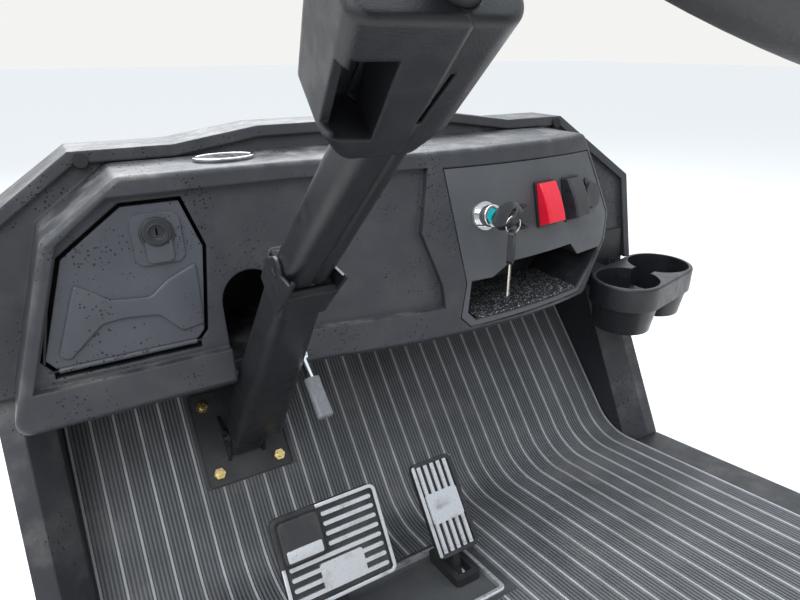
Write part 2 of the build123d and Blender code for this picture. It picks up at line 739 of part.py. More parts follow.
UPPER_SHAFT_TOP = 452.0
BOSS_START = 440.0
BOSS_R = 24.0
HUB_R = 52.0
CAP_R = 40.0
SPOKE_WIDTH = 34.0
SPOKE_THICK = 10.0

# Pedals
PEDAL_PLATES = (-262.0, 20.0)
PEDAL_PLATE_SHEET = 6.0
PEDAL_HUB_LENGTH = 30.0
BOOT_HEIGHT = 14.0
PAD_CORNER = 10.0
BAR_EDGE = 10.0
BAR_PROUD = 1.5
BRAKE_BARS = 8
BRAKE_PITCH = 13.0
BRAKE_BAR = 5.5
BRAKE_PLATE = (62.0, 34.0)
BRAKE_PLATE_AT = (4.0, -30.0)
PARK_LOW = -4.0
PARK_RIGHT = -8.0
GO_BARS = 5
GO_PITCH = 11.5
GO_BAR = 5.0
GO_PLATE = (54.0, 44.0)
PARK_WIDTH = 56.0
PARK_HEIGHT = 56.0
PARK_PROUD = 11.0
KEY_HOLE_R = 5.0


def skin_block(wall):
    """Cowl skin between the leaning flange plane and the bulkhead, less a wall."""
    flange_y = FACE_Y + FLANGE_DEPTH + wall
    rise = RIM_TOP + 2 * RIM_CROWN
    with BuildPart() as skin:
        with BuildSketch(Plane.XZ.offset(-BULKHEAD_Y)):
            add(skin_outline(wall))
        extrude(amount=BULKHEAD_Y - FACE_Y)
        with BuildSketch(Plane.YZ):
            with BuildLine():
                Polyline(
                    (flange_y, DASH_BOTTOM),
                    (BULKHEAD_Y, DASH_BOTTOM),
                    (BULKHEAD_Y, rise),
                    (flange_y + lean(rise), rise),
                    close=True,
                )
            make_face()
        extrude(amount=FLANGE_HALF + wall, both=True, mode=Mode.INTERSECT)
    return skin.part


# Body of the dash with a rounded face, before it is hollowed
with BuildPart() as dash_body:
    add(face_block(outline(BODY_OUTLINE, 0, BODY_CORNER), 0))
    face_sides = dash_body.faces().filter_by(lambda f: f.normal_at().Y < -0.7)
    shared = [e for a in face_sides for e in a.edges() if sum(e.is_same(o) for b in face_sides for o in b.edges()) > 1]
    rim_edges = [e for f in face_sides for e in f.edges() if not any(e.is_same(s) for s in shared)]
    fillet(rim_edges, FACE_ROUND)

# Dash moulding: cowl skin, body, raised rim, recessed field and openings
RIM_PLANE = Plane(
    origin=(0, FACE_Y + FLANGE_DEPTH, DASH_BOTTOM), x_dir=(1, 0, 0), z_dir=Vector(1, 0, 0).cross(LEAN_DIR)
)
with BuildPart() as rim_bead:
    with BuildSketch(Plane.XZ.offset(-BULKHEAD_Y)):
        add(skin_outline())
        add(skin_outline(RIM_WIDTH), mode=Mode.SUBTRACT)
        with Locations((0, DASH_BOTTOM)):
            Rectangle(2 * (FLANGE_HALF - RIM_WIDTH), 2 * RIM_WIDTH, mode=Mode.SUBTRACT)
    extrude(amount=BULKHEAD_Y - FACE_Y)
    with BuildSketch(Plane.YZ):
        with BuildLine():
            bead_top = DASH_TOP + 3 * RIM_CROWN
            bead_back = FACE_Y + FLANGE_DEPTH - RIM_PROUD
            Polyline(
                (bead_back, DASH_BOTTOM),
                (bead_back + 2 * RIM_PROUD, DASH_BOTTOM),
                (bead_back + 2 * RIM_PROUD + lean(bead_top), bead_top),
                (bead_back + lean(bead_top), bead_top),
                close=True,
            )
        make_face()
    extrude(amount=FLANGE_HALF, both=True, mode=Mode.INTERSECT)

with BuildPart() as dash_panel:
    add(skin_block(0))
    add(rim_bead.part)
    add(dash_body.part)
    add(skin_block(DASH_WALL), mode=Mode.SUBTRACT)
    hollow = outline(BODY_OUTLINE, -DASH_WALL, BODY_CORNER - DASH_WALL)
    add(face_block(hollow, FIELD_DEPTH + DASH_WALL), mode=Mode.SUBTRACT)
    add(face_block(outline(FIELD), -1, FIELD_DEPTH), mode=Mode.SUBTRACT)
    add(face_block(outline(DOOR, MOVE_GAP), 0, 3 * FIELD_DEPTH), mode=Mode.SUBTRACT)
    add(face_block(outline(SWITCH_PANEL, PANEL_GAP), -1, PANEL_THICK + SEAT_GAP), mode=Mode.SUBTRACT)
    add(face_block(outline(SWITCH_PANEL, -PANEL_LEDGE), 0, 3 * FIELD_DEPTH), mode=Mode.SUBTRACT)
    add(face_block(outline(CUBBY, BIN_WALL + SEAT_GAP), 0, CUBBY_DEPTH), mode=Mode.SUBTRACT)
    add(face_block(outline(ROLL_NOTCH), 0, 3 * FIELD_DEPTH), mode=Mode.SUBTRACT)
    # Slot behind the column, round at its top
    with BuildSketch(Plane.XZ):
        slot_width = COLUMN_SLOT_RIGHT - COLUMN_SLOT_LEFT
        with Locations(((COLUMN_SLOT_LEFT + COLUMN_SLOT_RIGHT) / 2, DASH_BOTTOM)):
            SlotOverall(2 * (COLUMN_SLOT_TOP - DASH_BOTTOM), slot_width, rotation=90)
    extrude(amount=-(FACE_Y + COLUMN_SLOT_DEPTH), mode=Mode.SUBTRACT)
    # Holes for the rim's plugs and for the glove door's hinge pin
    with Locations(*RIM_PLUG_PLANES):
        Cylinder(RIM_PLUG_R + SEAT_GAP, 60, mode=Mode.SUBTRACT)
    with Locations(Plane(origin=(HINGE_MID_X, HINGE_Y, HINGE_Z), z_dir=(1, 0, 0))):
        Cylinder(DOOR_PIN_R + RUNNING_FIT, HINGE_PIN_LENGTH, mode=Mode.SUBTRACT)
dash_panel.part.label = "dash_panel"
export_step(dash_panel.part, "parts/dash_panel.step")

# Black plugs in the rim's screw holes
with BuildPart() as rim_plugs:
    for plug_plane in RIM_PLUG_PLANES:
        with BuildSketch(plug_plane):
            Circle(RIM_PLUG_R)
        extrude(amount=-14)
        with BuildSketch(plug_plane.offset(SEAT_GAP)):
            Circle(RIM_PLUG_R + 2)
        extrude(amount=3)
        with BuildSketch(plug_plane):
            Circle(RIM_PLUG_R - 1)
        extrude(amount=1)
rim_plugs.part.label = "rim_plugs"
export_step(rim_plugs.part, "parts/rim_plugs.step")

# Plain oval badge on the shelf
with BuildPart() as shelf_badge:
    with BuildSketch(Plane.XY.offset(DASH_TOP + SEAT_GAP)):
        with Locations(BADGE_AT):
            Ellipse(BADGE_LENGTH / 2, BADGE_WIDTH / 2)
    extrude(amount=BADGE_THICK)
    fillet(shelf_badge.faces().sort_by(Axis.Z)[-1].edges(), 1.5)
shelf_badge.part.label = "shelf_badge"
export_step(shelf_badge.part, "parts/shelf_badge.step")

# Glove box door with its rolled hinge edge
with BuildPart() as glove_door:
    add(face_block(outline(DOOR), FIELD_DEPTH, FIELD_DEPTH + DOOR_THICK))
    with BuildSketch(Plane.YZ.offset(DOOR_ROLL_LEFT)):
        with BuildLine():
            roll_top = DOOR[4][1] + 2
            Polyline(
                (HINGE_Y - 1, HINGE_Z),
                (HINGE_Y + 1.5, HINGE_Z),
                (face_y(BOW_START, roll_top, FIELD_DEPTH + DOOR_THICK - 0.5), roll_top),
                (face_y(BOW_START, roll_top, FIELD_DEPTH + 1), roll_top),
                close=True,
            )
        make_face()
        with Locations((HINGE_Y, HINGE_Z)):
            Circle(HINGE_BARREL_R)
            Circle(DOOR_PIN_R + RUNNING_FIT, mode=Mode.SUBTRACT)
    extrude(amount=DOOR_ROLL_RIGHT - DOOR_ROLL_LEFT)
    # Raised pad round the lock
    with BuildSketch(face_plane(LOCK_AT[0], LOCK_AT[1] - 8, FIELD_DEPTH)):
        RectangleRounded(LOCK_PAD_WIDTH, LOCK_PAD_HEIGHT, 12)
    extrude(amount=LOCK_PAD_PROUD)
    with Locations(face_plane(*LOCK_AT, FIELD_DEPTH)):
        Cylinder(LOCK_BARREL_R + SEAT_GAP, 6 * DOOR_THICK, mode=Mode.SUBTRACT)
glove_door.part.label = "glove_door"
export_step(glove_door.part, "parts/glove_door.step")

with BuildPart() as door_pin:
    with Locations(Plane(origin=(HINGE_MID_X, HINGE_Y, HINGE_Z), z_dir=(1, 0, 0))):
        Cylinder(DOOR_PIN_R, HINGE_PIN_LENGTH)
door_pin.part.label = "glove_door_pin"
export_step(door_pin.part, "parts/glove_door_pin.step")

# Lock on the glove box door: collar, barrel and latch cam
with BuildPart() as glove_lock:
    lock_front = face_plane(*LOCK_AT, FIELD_DEPTH).offset(LOCK_PAD_PROUD + SEAT_GAP)
    with BuildSketch(lock_front):
        Circle(LOCK_COLLAR_R)
        Circle(LOCK_BARREL_R - 2, mode=Mode.SUBTRACT)
    extrude(amount=LOCK_COLLAR_HEIGHT)
    fillet(glove_lock.edges().filter_by(GeomType.CIRCLE).sort_by(Axis.Y)[:2], 1.5)
    with BuildSketch(lock_front.offset(2.0)):
        Circle(LOCK_BARREL_R)
        with Locations((0, 0)):
            SlotOverall(9, 2, rotation=90, mode=Mode.SUBTRACT)
    extrude(amount=-26)
    with BuildSketch(lock_front.offset(-22)):
        with Locations((0, 10)):
            SlotOverall(34, 14, rotation=90)
    extrude(amount=-3)
glove_lock.part.label = "glove_lock"
export_step(glove_lock.part, "parts/glove_lock.step")

# Glove box behind the door opening
with BuildPart() as glove_bin:
    bin_front = FIELD_DEPTH + DASH_WALL
    add(face_block(outline(BIN), bin_front, BIN_DEPTH))
    add(face_block(outline(BIN, -BIN_WALL), 0, BIN_DEPTH - BIN_WALL), mode=Mode.SUBTRACT)
glove_bin.part.label = "glove_bin"
export_step(glove_bin.part, "parts/glove_bin.step")

# Switch panel and the open cubby below it
with BuildPart() as switch_panel:
    add(face_block(outline(SWITCH_PANEL), 0, PANEL_THICK))
    add(face_block(outline(CUBBY), -1, 2 * PANEL_THICK), mode=Mode.SUBTRACT)
    for x, z, radius in ROUND_CONTROLS:
        with Locations(face_plane(x, z)):
            Cylinder(radius + SEAT_GAP, 6 * PANEL_THICK, mode=Mode.SUBTRACT)
    for x, z in ROCKERS:
        with BuildSketch(face_plane(x, z)):
            Rectangle(ROCKER_BODY_WIDTH + 2 * SEAT_GAP, ROCKER_BODY_HEIGHT + 2 * SEAT_GAP)
        extrude(amount=2 * PANEL_THICK, both=True, mode=Mode.SUBTRACT)
switch_panel.part.label = "switch_panel"
export_step(switch_panel.part, "parts/switch_panel.step")

with BuildPart() as cubby_bin:
    add(face_block(outline(CUBBY, BIN_WALL), PANEL_THICK + SEAT_GAP, CUBBY_DEPTH))
    add(face_block(outline(CUBBY), 0, CUBBY_DEPTH - BIN_WALL), mode=Mode.SUBTRACT)
cubby_bin.part.label = "cubby_bin"
export_step(cubby_bin.part, "parts/cubby_bin.step")

with BuildPart() as cubby_liner:
    add(face_block(outline(LINER), PANEL_THICK, CUBBY_DEPTH - 2 * BIN_WALL))
cubby_liner.part.label = "cubby_liner"
export_step(cubby_liner.part, "parts/cubby_liner.step")

# Indicator lamp: bright bezel round a coloured lens
lamp_x, lamp_z, lamp_r = ROUND_CONTROLS[0]
with BuildPart() as lamp_bezel:
    with BuildSketch(face_plane(lamp_x, lamp_z).offset(SEAT_GAP)):
        Circle(lamp_r + 8)
    extrude(amount=4, taper=20)
    with BuildSketch(face_plane(lamp_x, lamp_z).offset(3)):
        Circle(lamp_r + 2)
    extrude(amount=LAMP_PROUD - 3)
    fillet(lamp_bezel.faces().sort_by(Axis.Y)[0].edges(), 2)
    with BuildSketch(face_plane(lamp_x, lamp_z).offset(3)):
        Circle(lamp_r)
    extrude(amount=-24)
    with BuildSketch(face_plane(lamp_x, lamp_z).offset(LAMP_PROUD)):
        Circle(LENS_R + SEAT_GAP)
    extrude(amount=-LENS_DEEP, mode=Mode.SUBTRACT)
lamp_bezel.part.label = "lamp_bezel"
export_step(lamp_bezel.part, "parts/lamp_bezel.step")

LENS_PLANE = face_plane(lamp_x, lamp_z).offset(LAMP_PROUD - 2)
TURN = (cos(radians(KEY_TURN)), sin(radians(KEY_TURN)))
KEY_SIDE = Plane(
    origin=LENS_PLANE.origin,
    x_dir=LENS_PLANE.x_dir * TURN[1] + LENS_PLANE.y_dir * TURN[0],
    z_dir=LENS_PLANE.x_dir * TURN[0] - LENS_PLANE.y_dir * TURN[1],
)
with BuildPart() as lamp_lens:
    with BuildSketch(LENS_PLANE):
        Circle(LENS_R)
    extrude(amount=2 - LENS_DEEP)
    fillet(lamp_lens.faces().sort_by(Axis.Y)[0].edges(), 3)
    # Slot for the key
    with BuildSketch(KEY_SIDE):
        Rectangle(KEY_BLADE + 2 * SEAT_GAP, 2 * KEY_IN + 2 * SEAT_GAP)
    extrude(amount=KEY_THICK / 2 + SEAT_GAP, both=True, mode=Mode.SUBTRACT)
lamp_lens.part.label = "lamp_lens"
export_step(lamp_lens.part, "parts/lamp_lens.step")

# Round switch behind the key
switch_x, switch_z, switch_r = ROUND_CONTROLS[1]
with BuildPart() as key_switch:
    with BuildSketch(face_plane(switch_x, switch_z).offset(SEAT_GAP)):
        Circle(switch_r + 8)
    extrude(amount=5, taper=15)
    with BuildSketch(face_plane(switch_x, switch_z).offset(4)):
        Circle(switch_r + 4)
    extrude(amount=8, taper=4)
    fillet(key_switch.faces().sort_by(Axis.Y)[0].edges(), 2)
    with BuildSketch(face_plane(switch_x, switch_z).offset(4)):
        Circle(switch_r)
    extrude(amount=-34)
key_switch.part.label = "key_switch"
export_step(key_switch.part, "parts/key_switch.step")

# Key in the bezel, with a ring through its head and a second key hanging from it
HANG_RING_R = 13.0
HANG_WIRE_R = 1.0
RING_TOP = KEY_SIDE.from_local_coords((0, KEY_HEAD_START + KEY_HEAD_LENGTH * 0.8, 0))
RING_MID = RING_TOP - Vector(0, 0, HANG_RING_R)
HANG_PLANE = Plane(
    origin=RING_MID - Vector(0, 0, HANG_RING_R),
    x_dir=(sin(radians(HANG_TURN)), cos(radians(HANG_TURN)), 0),
    z_dir=(cos(radians(HANG_TURN)), -sin(radians(HANG_TURN)), 0),
)

with BuildPart() as key_blades:
    with BuildSketch(KEY_SIDE):
        with Locations((0, (2 * KEY_HEAD_START - KEY_IN) / 2)):
            Rectangle(KEY_BLADE, 2 * KEY_HEAD_START + KEY_IN)
    extrude(amount=KEY_THICK / 2, both=True)
    with Locations(Plane(origin=RING_MID, x_dir=(1, 0, 0), z_dir=(0, -1, 0))):
        Torus(HANG_RING_R, HANG_WIRE_R)
    with BuildSketch(HANG_PLANE):
        with Locations((0, 6 - HANG_HEAD_LENGTH - HANG_BLADE_LENGTH / 2)):
            Rectangle(KEY_BLADE, HANG_BLADE_LENGTH)
    extrude(amount=KEY_THICK / 2, both=True)
key_blades.part.label = "key_blades"
export_step(key_blades.part, "parts/key_blades.step")

with BuildPart() as key_heads:
    with BuildSketch(KEY_SIDE):
        with Locations((0, KEY_HEAD_START + KEY_HEAD_LENGTH / 2)):
            Ellipse(KEY_HEAD_WIDTH / 2, KEY_HEAD_LENGTH / 2)
        with Locations((0, KEY_HEAD_START + KEY_HEAD_LENGTH * 0.8)):
            SlotOverall(4 * KEY_HOLE_R, 2 * KEY_HOLE_R, mode=Mode.SUBTRACT)
    extrude(amount=KEY_HEAD_THICK / 2, both=True)
    with BuildSketch(HANG_PLANE):
        with Locations((0, 6 - HANG_HEAD_LENGTH / 2)):
            RectangleRounded(HANG_HEAD_WIDTH, HANG_HEAD_LENGTH, 9)
        Circle(HANG_HOLE_R, mode=Mode.SUBTRACT)
    extrude(amount=HANG_HEAD_THICK / 2, both=True)
    add(key_blades.part, mode=Mode.SUBTRACT)
key_heads.part.label = "key_heads"
export_step(key_heads.part, "parts/key_heads.step")

# Two rockers in their black bezels
with BuildPart() as rocker_bezels:
    for x, z in ROCKERS:
        with BuildSketch(face_plane(x, z).offset(SEAT_GAP)):
            RectangleRounded(ROCKER_BODY_WIDTH + 7, ROCKER_BODY_HEIGHT + 14, 4)
        extrude(amount=4)
        with BuildSketch(face_plane(x, z).offset(SEAT_GAP)):
            Rectangle(ROCKER_BODY_WIDTH, ROCKER_BODY_HEIGHT)
        extrude(amount=-26)
rocker_bezels.part.label = "rocker_bezels"
export_step(rocker_bezels.part, "parts/rocker_bezels.step")

for name, (x, z) in zip(("rocker_red", "rocker_grey"), ROCKERS):
    with BuildPart() as rocker:
        rocker_plane = face_plane(x, z).offset(4 + SEAT_GAP)
        half = ROCKER_BODY_HEIGHT / 2 + 4
        with BuildSketch(Plane(origin=rocker_plane.origin, x_dir=rocker_plane.y_dir, z_dir=rocker_plane.x_dir)):
            with BuildLine():
                Line((half, ROCKER_TOP_PROUD), (half, 0))
                Line((half, 0), (-half, 0))
                Line((-half, 0), (4 - half, ROCKER_FOOT_PROUD))
                ThreePointArc((4 - half, ROCKER_FOOT_PROUD), (2, ROCKER_MID_PROUD + 3), (half, ROCKER_TOP_PROUD))
            make_face()
        extrude(amount=ROCKER_BODY_WIDTH / 2, both=True)
        fillet(rocker.edges().filter_by(GeomType.CIRCLE), 4)
    rocker.part.label = name
    export_step(rocker.part, f"parts/{name}.step")

# Power socket with its snap cap
socket_x, socket_z, socket_r = ROUND_CONTROLS[2]
SOCKET_PLANE = face_plane(socket_x, socket_z)
with BuildPart() as power_socket:
    with BuildSketch(SOCKET_PLANE.offset(SEAT_GAP)):
        Circle(socket_r + 8)
    extrude(amount=4)
    with BuildSketch(SOCKET_PLANE.offset(SEAT_GAP)):
        Circle(socket_r)
    extrude(amount=-36)
    with BuildSketch(SOCKET_PLANE.offset(4 + SEAT_GAP)):
        Circle(socket_r + 6)
    extrude(amount=7)
    fillet(power_socket.faces().sort_by(Axis.Y)[0].edges(), 1.5)
    with BuildSketch(SOCKET_PLANE.offset(4 + SEAT_GAP)):
        with Locations((-8, socket_r + 2)):
            SlotOverall(30, 12, rotation=125)
    extrude(amount=3)
power_socket.part.label = "power_socket"
export_step(power_socket.part, "parts/power_socket.step")

# Cup holder beside the dash: two joined wells in one tray, bolted to the flange
with BuildPart() as cup_holder:
    with BuildSketch(Plane.XY.offset(CUP_TRAY_BOTTOM)):
        with Locations(*CUP_WELLS):
            Circle(CUP_TRAY_R)
        make_hull()
    extrude(amount=CUP_TOP - CUP_TRAY_BOTTOM)
    fillet(cup_holder.faces().sort_by(Axis.Z)[-1].edges(), 4)
    for well in CUP_WELLS:
        with BuildSketch(Plane.XY.offset(CUP_TRAY_BOTTOM)):
            with Locations(well):
                Circle(CUP_WELL_R)
        extrude(amount=CUP_BOTTOM - CUP_TRAY_BOTTOM, taper=9)
    # Arm and plate that fasten it to the dash flange
    with BuildSketch(Plane.XY.offset(CUP_TRAY_BOTTOM + 14)):
        with Locations(((CUP_ARM_LEFT + CUP_ARM_RIGHT) / 2, (CUP_WELLS[0][1] + CUP_PLATE_Y) / 2)):
            Rectangle(CUP_ARM_RIGHT - CUP_ARM_LEFT, CUP_PLATE_Y - CUP_WELLS[0][1])
    extrude(amount=CUP_TOP - CUP_TRAY_BOTTOM - 18)
    with BuildSketch(Plane.YZ.offset(CUP_ARM_LEFT)):
        with BuildLine():
            Polyline(
                (CUP_PLATE_Y - 6, CUP_TRAY_BOTTOM + 14),
                (CUP_PLATE_Y - SEAT_GAP, CUP_TRAY_BOTTOM + 14),
                (CUP_PLATE_Y - SEAT_GAP, DASH_BOTTOM),
                (CUP_PLATE_Y - SEAT_GAP + lean(CUP_PLATE_TOP), CUP_PLATE_TOP),
                (CUP_PLATE_Y - 6 + lean(CUP_PLATE_TOP), CUP_PLATE_TOP),
                close=True,
            )
        make_face()
    extrude(amount=CUP_PLATE_RIGHT - CUP_ARM_LEFT)
    for well in CUP_WELLS:
        with BuildSketch(Plane.XY.offset(CUP_TOP)):
            with Locations(well):
                Circle(CUP_WELL_R - 3)
        extrude(amount=CUP_BOTTOM + 4 - CUP_TOP, taper=4.5, mode=Mode.SUBTRACT)
    # Notch where the two wells run into each other
    notch_mid = ((CUP_WELLS[0][0] + CUP_WELLS[1][0]) / 2, (CUP_WELLS[0][1] + CUP_WELLS[1][1]) / 2)
    with Locations(Plane(origin=(*notch_mid, CUP_TOP))):
        Cylinder(CUP_NOTCH_R, 2 * CUP_NOTCH_DEEP, mode=Mode.SUBTRACT)
cup_holder.part.label = "cup_holder"
export_step(cup_holder.part, "parts/cup_holder.step")

# Fixed bracket at the foot of the column
with BuildPart() as column_bracket:
    bracket_mid = (toe_v(CUTOUT_REAR) + toe_v(CUTOUT_FRONT)) / 2
    with BuildSketch(TOE_PLANE):
        with Locations((COLUMN_X, bracket_mid)):
            RectangleRounded(BRACKET_WIDTH, toe_v(CUTOUT_FRONT) - toe_v(CUTOUT_REAR) - 4, 5)
        with Locations(*[(COLUMN_X + dx, toe_v(y)) for dx, y in BRACKET_BOLTS]):
            Circle(BRACKET_BOLT_R, mode=Mode.SUBTRACT)
    extrude(amount=BRACKET_SHEET)
    with BuildSketch(column_plane(JACKET_BOTTOM)):
        Circle(JACKET_R + SEAT_GAP)
    extrude(amount=FOOT_LENGTH, mode=Mode.SUBTRACT)
    for sign in (-1, 1):
        with BuildSketch(Plane.YZ.offset(COLUMN_X + sign * FOOT_EAR_GAP / 2)):
            foot_a = TOE_PLANE.from_local_coords((0, toe_v(EAR_REAR_Y), BRACKET_SHEET / 2))
            foot_b = TOE_PLANE.from_local_coords((0, toe_v(EAR_FRONT_Y), BRACKET_SHEET / 2))
            with BuildLine():
                Polyline(
                    (foot_a.Y, foot_a.Z),
                    (foot_b.Y, foot_b.Z),
                    (FOOT_BOLT.Y + EAR_R * 0.7, FOOT_BOLT.Z + EAR_R * 0.6),
                    (FOOT_BOLT.Y - EAR_R * 0.75, FOOT_BOLT.Z - EAR_R * 0.3),
                    close=True,
                )
            make_face()
            with Locations((FOOT_BOLT.Y, FOOT_BOLT.Z)):
                Circle(EAR_R)
                Circle(FOOT_BOLT_R + SEAT_GAP, mode=Mode.SUBTRACT)
        extrude(amount=sign * FOOT_EAR_SHEET)
column_bracket.part.label = "column_bracket"
export_step(column_bracket.part, "parts/column_bracket.step")

with BuildPart() as bracket_bolts:
    for dx, y in BRACKET_BOLTS:
        with BuildSketch(TOE_PLANE.offset(BRACKET_SHEET)):
            with Locations((COLUMN_X + dx, toe_v(y))):
                RegularPolygon(9.5, 6)
        extrude(amount=7)
        with BuildSketch(TOE_PLANE):
            with Locations((COLUMN_X + dx, toe_v(y))):
                Circle(BRACKET_BOLT_R - SEAT_GAP)
        extrude(amount=BRACKET_SHEET + 13)
bracket_bolts.part.label = "bracket_bolts"
export_step(bracket_bolts.part, "parts/bracket_bolts.step")

# Lower jacket: foot block with its cross bolt, and a tube with a bush at each end for the shaft
with BuildPart() as column_jacket:
    with BuildSketch(column_plane(FOOT_BOLT_AT - FOOT_LENGTH / 2)):
        RectangleRounded(FOOT_WIDTH, FOOT_WIDTH, 8)
    extrude(amount=FOOT_LENGTH)
    with BuildSketch(column_plane(JACKET_BOTTOM)):
        Circle(JACKET_R)
    extrude(amount=JACKET_TOP - JACKET_BOTTOM)
    with Locations(Plane(origin=FOOT_BOLT, z_dir=(1, 0, 0))):
        Cylinder(FOOT_BOLT_R, FOOT_EAR_GAP + 2 * FOOT_EAR_SHEET + 6)
    with BuildSketch(column_plane(JACKET_BOTTOM - 1)):
        Circle(SHAFT_R + RUNNING_FIT)
    extrude(amount=JACKET_TOP + 2 - JACKET_BOTTOM, mode=Mode.SUBTRACT)
    with BuildSketch(column_plane(JACKET_BOTTOM + BUSH_LENGTH)):
        Circle(JACKET_R - JACKET_WALL)
    extrude(amount=JACKET_TOP - JACKET_BOTTOM - 2 * BUSH_LENGTH, mode=Mode.SUBTRACT)
column_jacket.part.label = "column_jacket"
export_step(column_jacket.part, "parts/column_jacket.step")


def shroud_solid(inset):
    """Tapered body of the lower column cover, less a wall."""
    with BuildPart() as body:
        with BuildSketch(column_plane(SHROUD_START + inset)):
            with Locations((SHROUD_FOOT_SHIFT, 0)):
                RectangleRounded(SHROUD_FOOT_WIDTH - 2 * inset, SHROUD_FOOT_DEPTH - 2 * inset, 13 - inset)
        with BuildSketch(column_plane(SHROUD_END - inset)):
            RectangleRounded(SHROUD_TOP_WIDTH - 2 * inset, SHROUD_TOP_DEPTH - 2 * inset, 13 - inset)
        loft()
    return body.part


with BuildPart() as column_shroud:
    add(shroud_solid(0))
    add(shroud_solid(SHROUD_WALL), mode=Mode.SUBTRACT)
    with BuildSketch(column_plane(SHROUD_START - 5)):
        Circle(JACKET_R + SEAT_GAP)
    extrude(amount=SHROUD_END + 10, mode=Mode.SUBTRACT)
    # Slot that the tilt lever's link runs in
    with BuildSketch(column_plane(LEVER_SLOT[0])):
        with Locations((SHROUD_TOP_WIDTH / 2, 0)):
            Rectangle(60, LEVER_SLOT_HEIGHT)
    extrude(amount=LEVER_SLOT[1] - LEVER_SLOT[0], mode=Mode.SUBTRACT)
column_shroud.part.label = "column_shroud"
export_step(column_shroud.part, "parts/column_shroud.step")

# Collar: a ring on top of the cover, two cheeks with the pin holes and a saddle plate towards the seats
CHEEK_IN = SLEEVE_FOOT_WIDTH / 2 + CHEEK_GAP
CHEEK_OUT = CHEEK_IN + CHEEK_SHEET
SADDLE_IN = SLEEVE_DEPTH / 2 + SADDLE_GAP
SADDLE_OUT = SADDLE_IN + SADDLE_SHEET
with BuildPart() as column_collar:
    with BuildSketch(column_plane(COLLAR_START)):
        with Locations((0, (COLLAR_FRONT - SADDLE_OUT) / 2)):
            RectangleRounded(2 * CHEEK_OUT, COLLAR_FRONT + SADDLE_OUT, 9)
    extrude(amount=TILT_HINGE_AT - COLLAR_START)
    for sign in (-1, 1):
        with BuildSketch(Plane.YZ.offset(COLUMN_X + sign * CHEEK_IN)):
            with Locations((TILT_HINGE.Y, TILT_HINGE.Z)):
                Circle(CHEEK_R)
        extrude(amount=sign * CHEEK_SHEET)
    with BuildSketch(under_plane(SADDLE_IN)):
        with BuildLine():
            Polyline(
                (-CHEEK_OUT, SADDLE_FOOT),
                (CHEEK_OUT, SADDLE_FOOT),
                (CHEEK_OUT, SADDLE_TOP - 12),
                (-CHEEK_OUT, SADDLE_TOP),
                close=True,
            )
        make_face()
    extrude(amount=SADDLE_SHEET, dir=UPPER_BACK)
    for sign in (-1, 1):
        with BuildSketch(Plane.YZ.offset(COLUMN_X + sign * CHEEK_IN)):
            rear_low = under_plane(SADDLE_IN + SADDLE_SHEET / 2).from_local_coords((0, SADDLE_FOOT, 0))
            rear_high = under_plane(SADDLE_IN + SADDLE_SHEET / 2).from_local_coords((0, SADDLE_TOP - 14, 0))
            front_high = under_plane(CHEEK_R * 0.6).from_local_coords((0, CHEEK_R * 0.75, 0))
            with BuildLine():
                Polyline(
                    (rear_low.Y, rear_low.Z),
                    (rear_high.Y, rear_high.Z),
                    (front_high.Y, front_high.Z),
                    (TILT_HINGE.Y, TILT_HINGE.Z),
                    close=True,
                )
            make_face()
        extrude(amount=sign * CHEEK_SHEET)
    # Seat on the cover, then room for the knuckle and the sleeve to swing
    add(shroud_solid(-SEAT_GAP), mode=Mode.SUBTRACT)
    with BuildSketch(column_plane(COLLAR_START)):
        RectangleRounded(2 * CHEEK_IN - 8, 2 * CHEEK_IN - 8, 8)
    extrude(amount=TILT_HINGE_AT, mode=Mode.SUBTRACT)
    with Locations(Plane(origin=TILT_HINGE, z_dir=(1, 0, 0))):
        Cylinder(KNUCKLE_R + KNUCKLE_GAP, 2 * CHEEK_IN, mode=Mode.SUBTRACT)
    with BuildSketch(under_plane(SADDLE_IN)):
        Rectangle(2 * CHEEK_IN, 2 * SADDLE_TOP, align=(Align.CENTER, Align.MIN))
    extrude(amount=-3 * SADDLE_IN, dir=UPPER_BACK * -1, mode=Mode.SUBTRACT)
    with BuildSketch(under_plane(0 - KNUCKLE_R + 4)):
        with Locations((0, -6)):
            Rectangle(4 * CHEEK_IN, 4 * SADDLE_TOP, align=(Align.CENTER, Align.MIN))
    extrude(amount=3 * SADDLE_IN, dir=UPPER_BACK * -1, mode=Mode.SUBTRACT)
    # Concave edge round the sleeve
    with Locations(Plane(origin=under_plane(SADDLE_OUT).from_local_coords((0, SADDLE_TOP + 30, 0)), z_dir=UPPER_BACK)):
        Cylinder(SADDLE_DIP_R, 6 * SADDLE_SHEET, mode=Mode.SUBTRACT)
    with Locations(Plane(origin=TILT_HINGE, z_dir=(1, 0, 0))):
        Cylinder(HINGE_PIN_R + RUNNING_FIT, 4 * CHEEK_OUT, mode=Mode.SUBTRACT)
column_collar.part.label = "column_collar"
export_step(column_collar.part, "parts/column_collar.step")

# Upper jacket with its bushes; the sleeve over it ends in the knuckle and pins of the tilt hinge
with BuildPart() as column_tube:
    with BuildSketch(upper_plane(UPPER_JACKET_BOTTOM)):
        Circle(UPPER_JACKET_R)
        Circle(SHAFT_R + RUNNING_FIT, mode=Mode.SUBTRACT)
    extrude(amount=UPPER_JACKET_TOP - UPPER_JACKET_BOTTOM)
    with BuildSketch(upper_plane(UPPER_JACKET_BOTTOM + BUSH_LENGTH)):
        Circle(UPPER_JACKET_R - JACKET_WALL)
    extrude(amount=UPPER_JACKET_TOP - UPPER_JACKET_BOTTOM - 2 * BUSH_LENGTH, mode=Mode.SUBTRACT)
column_tube.part.label = "column_tube"
export_step(column_tube.part, "parts/column_tube.step")


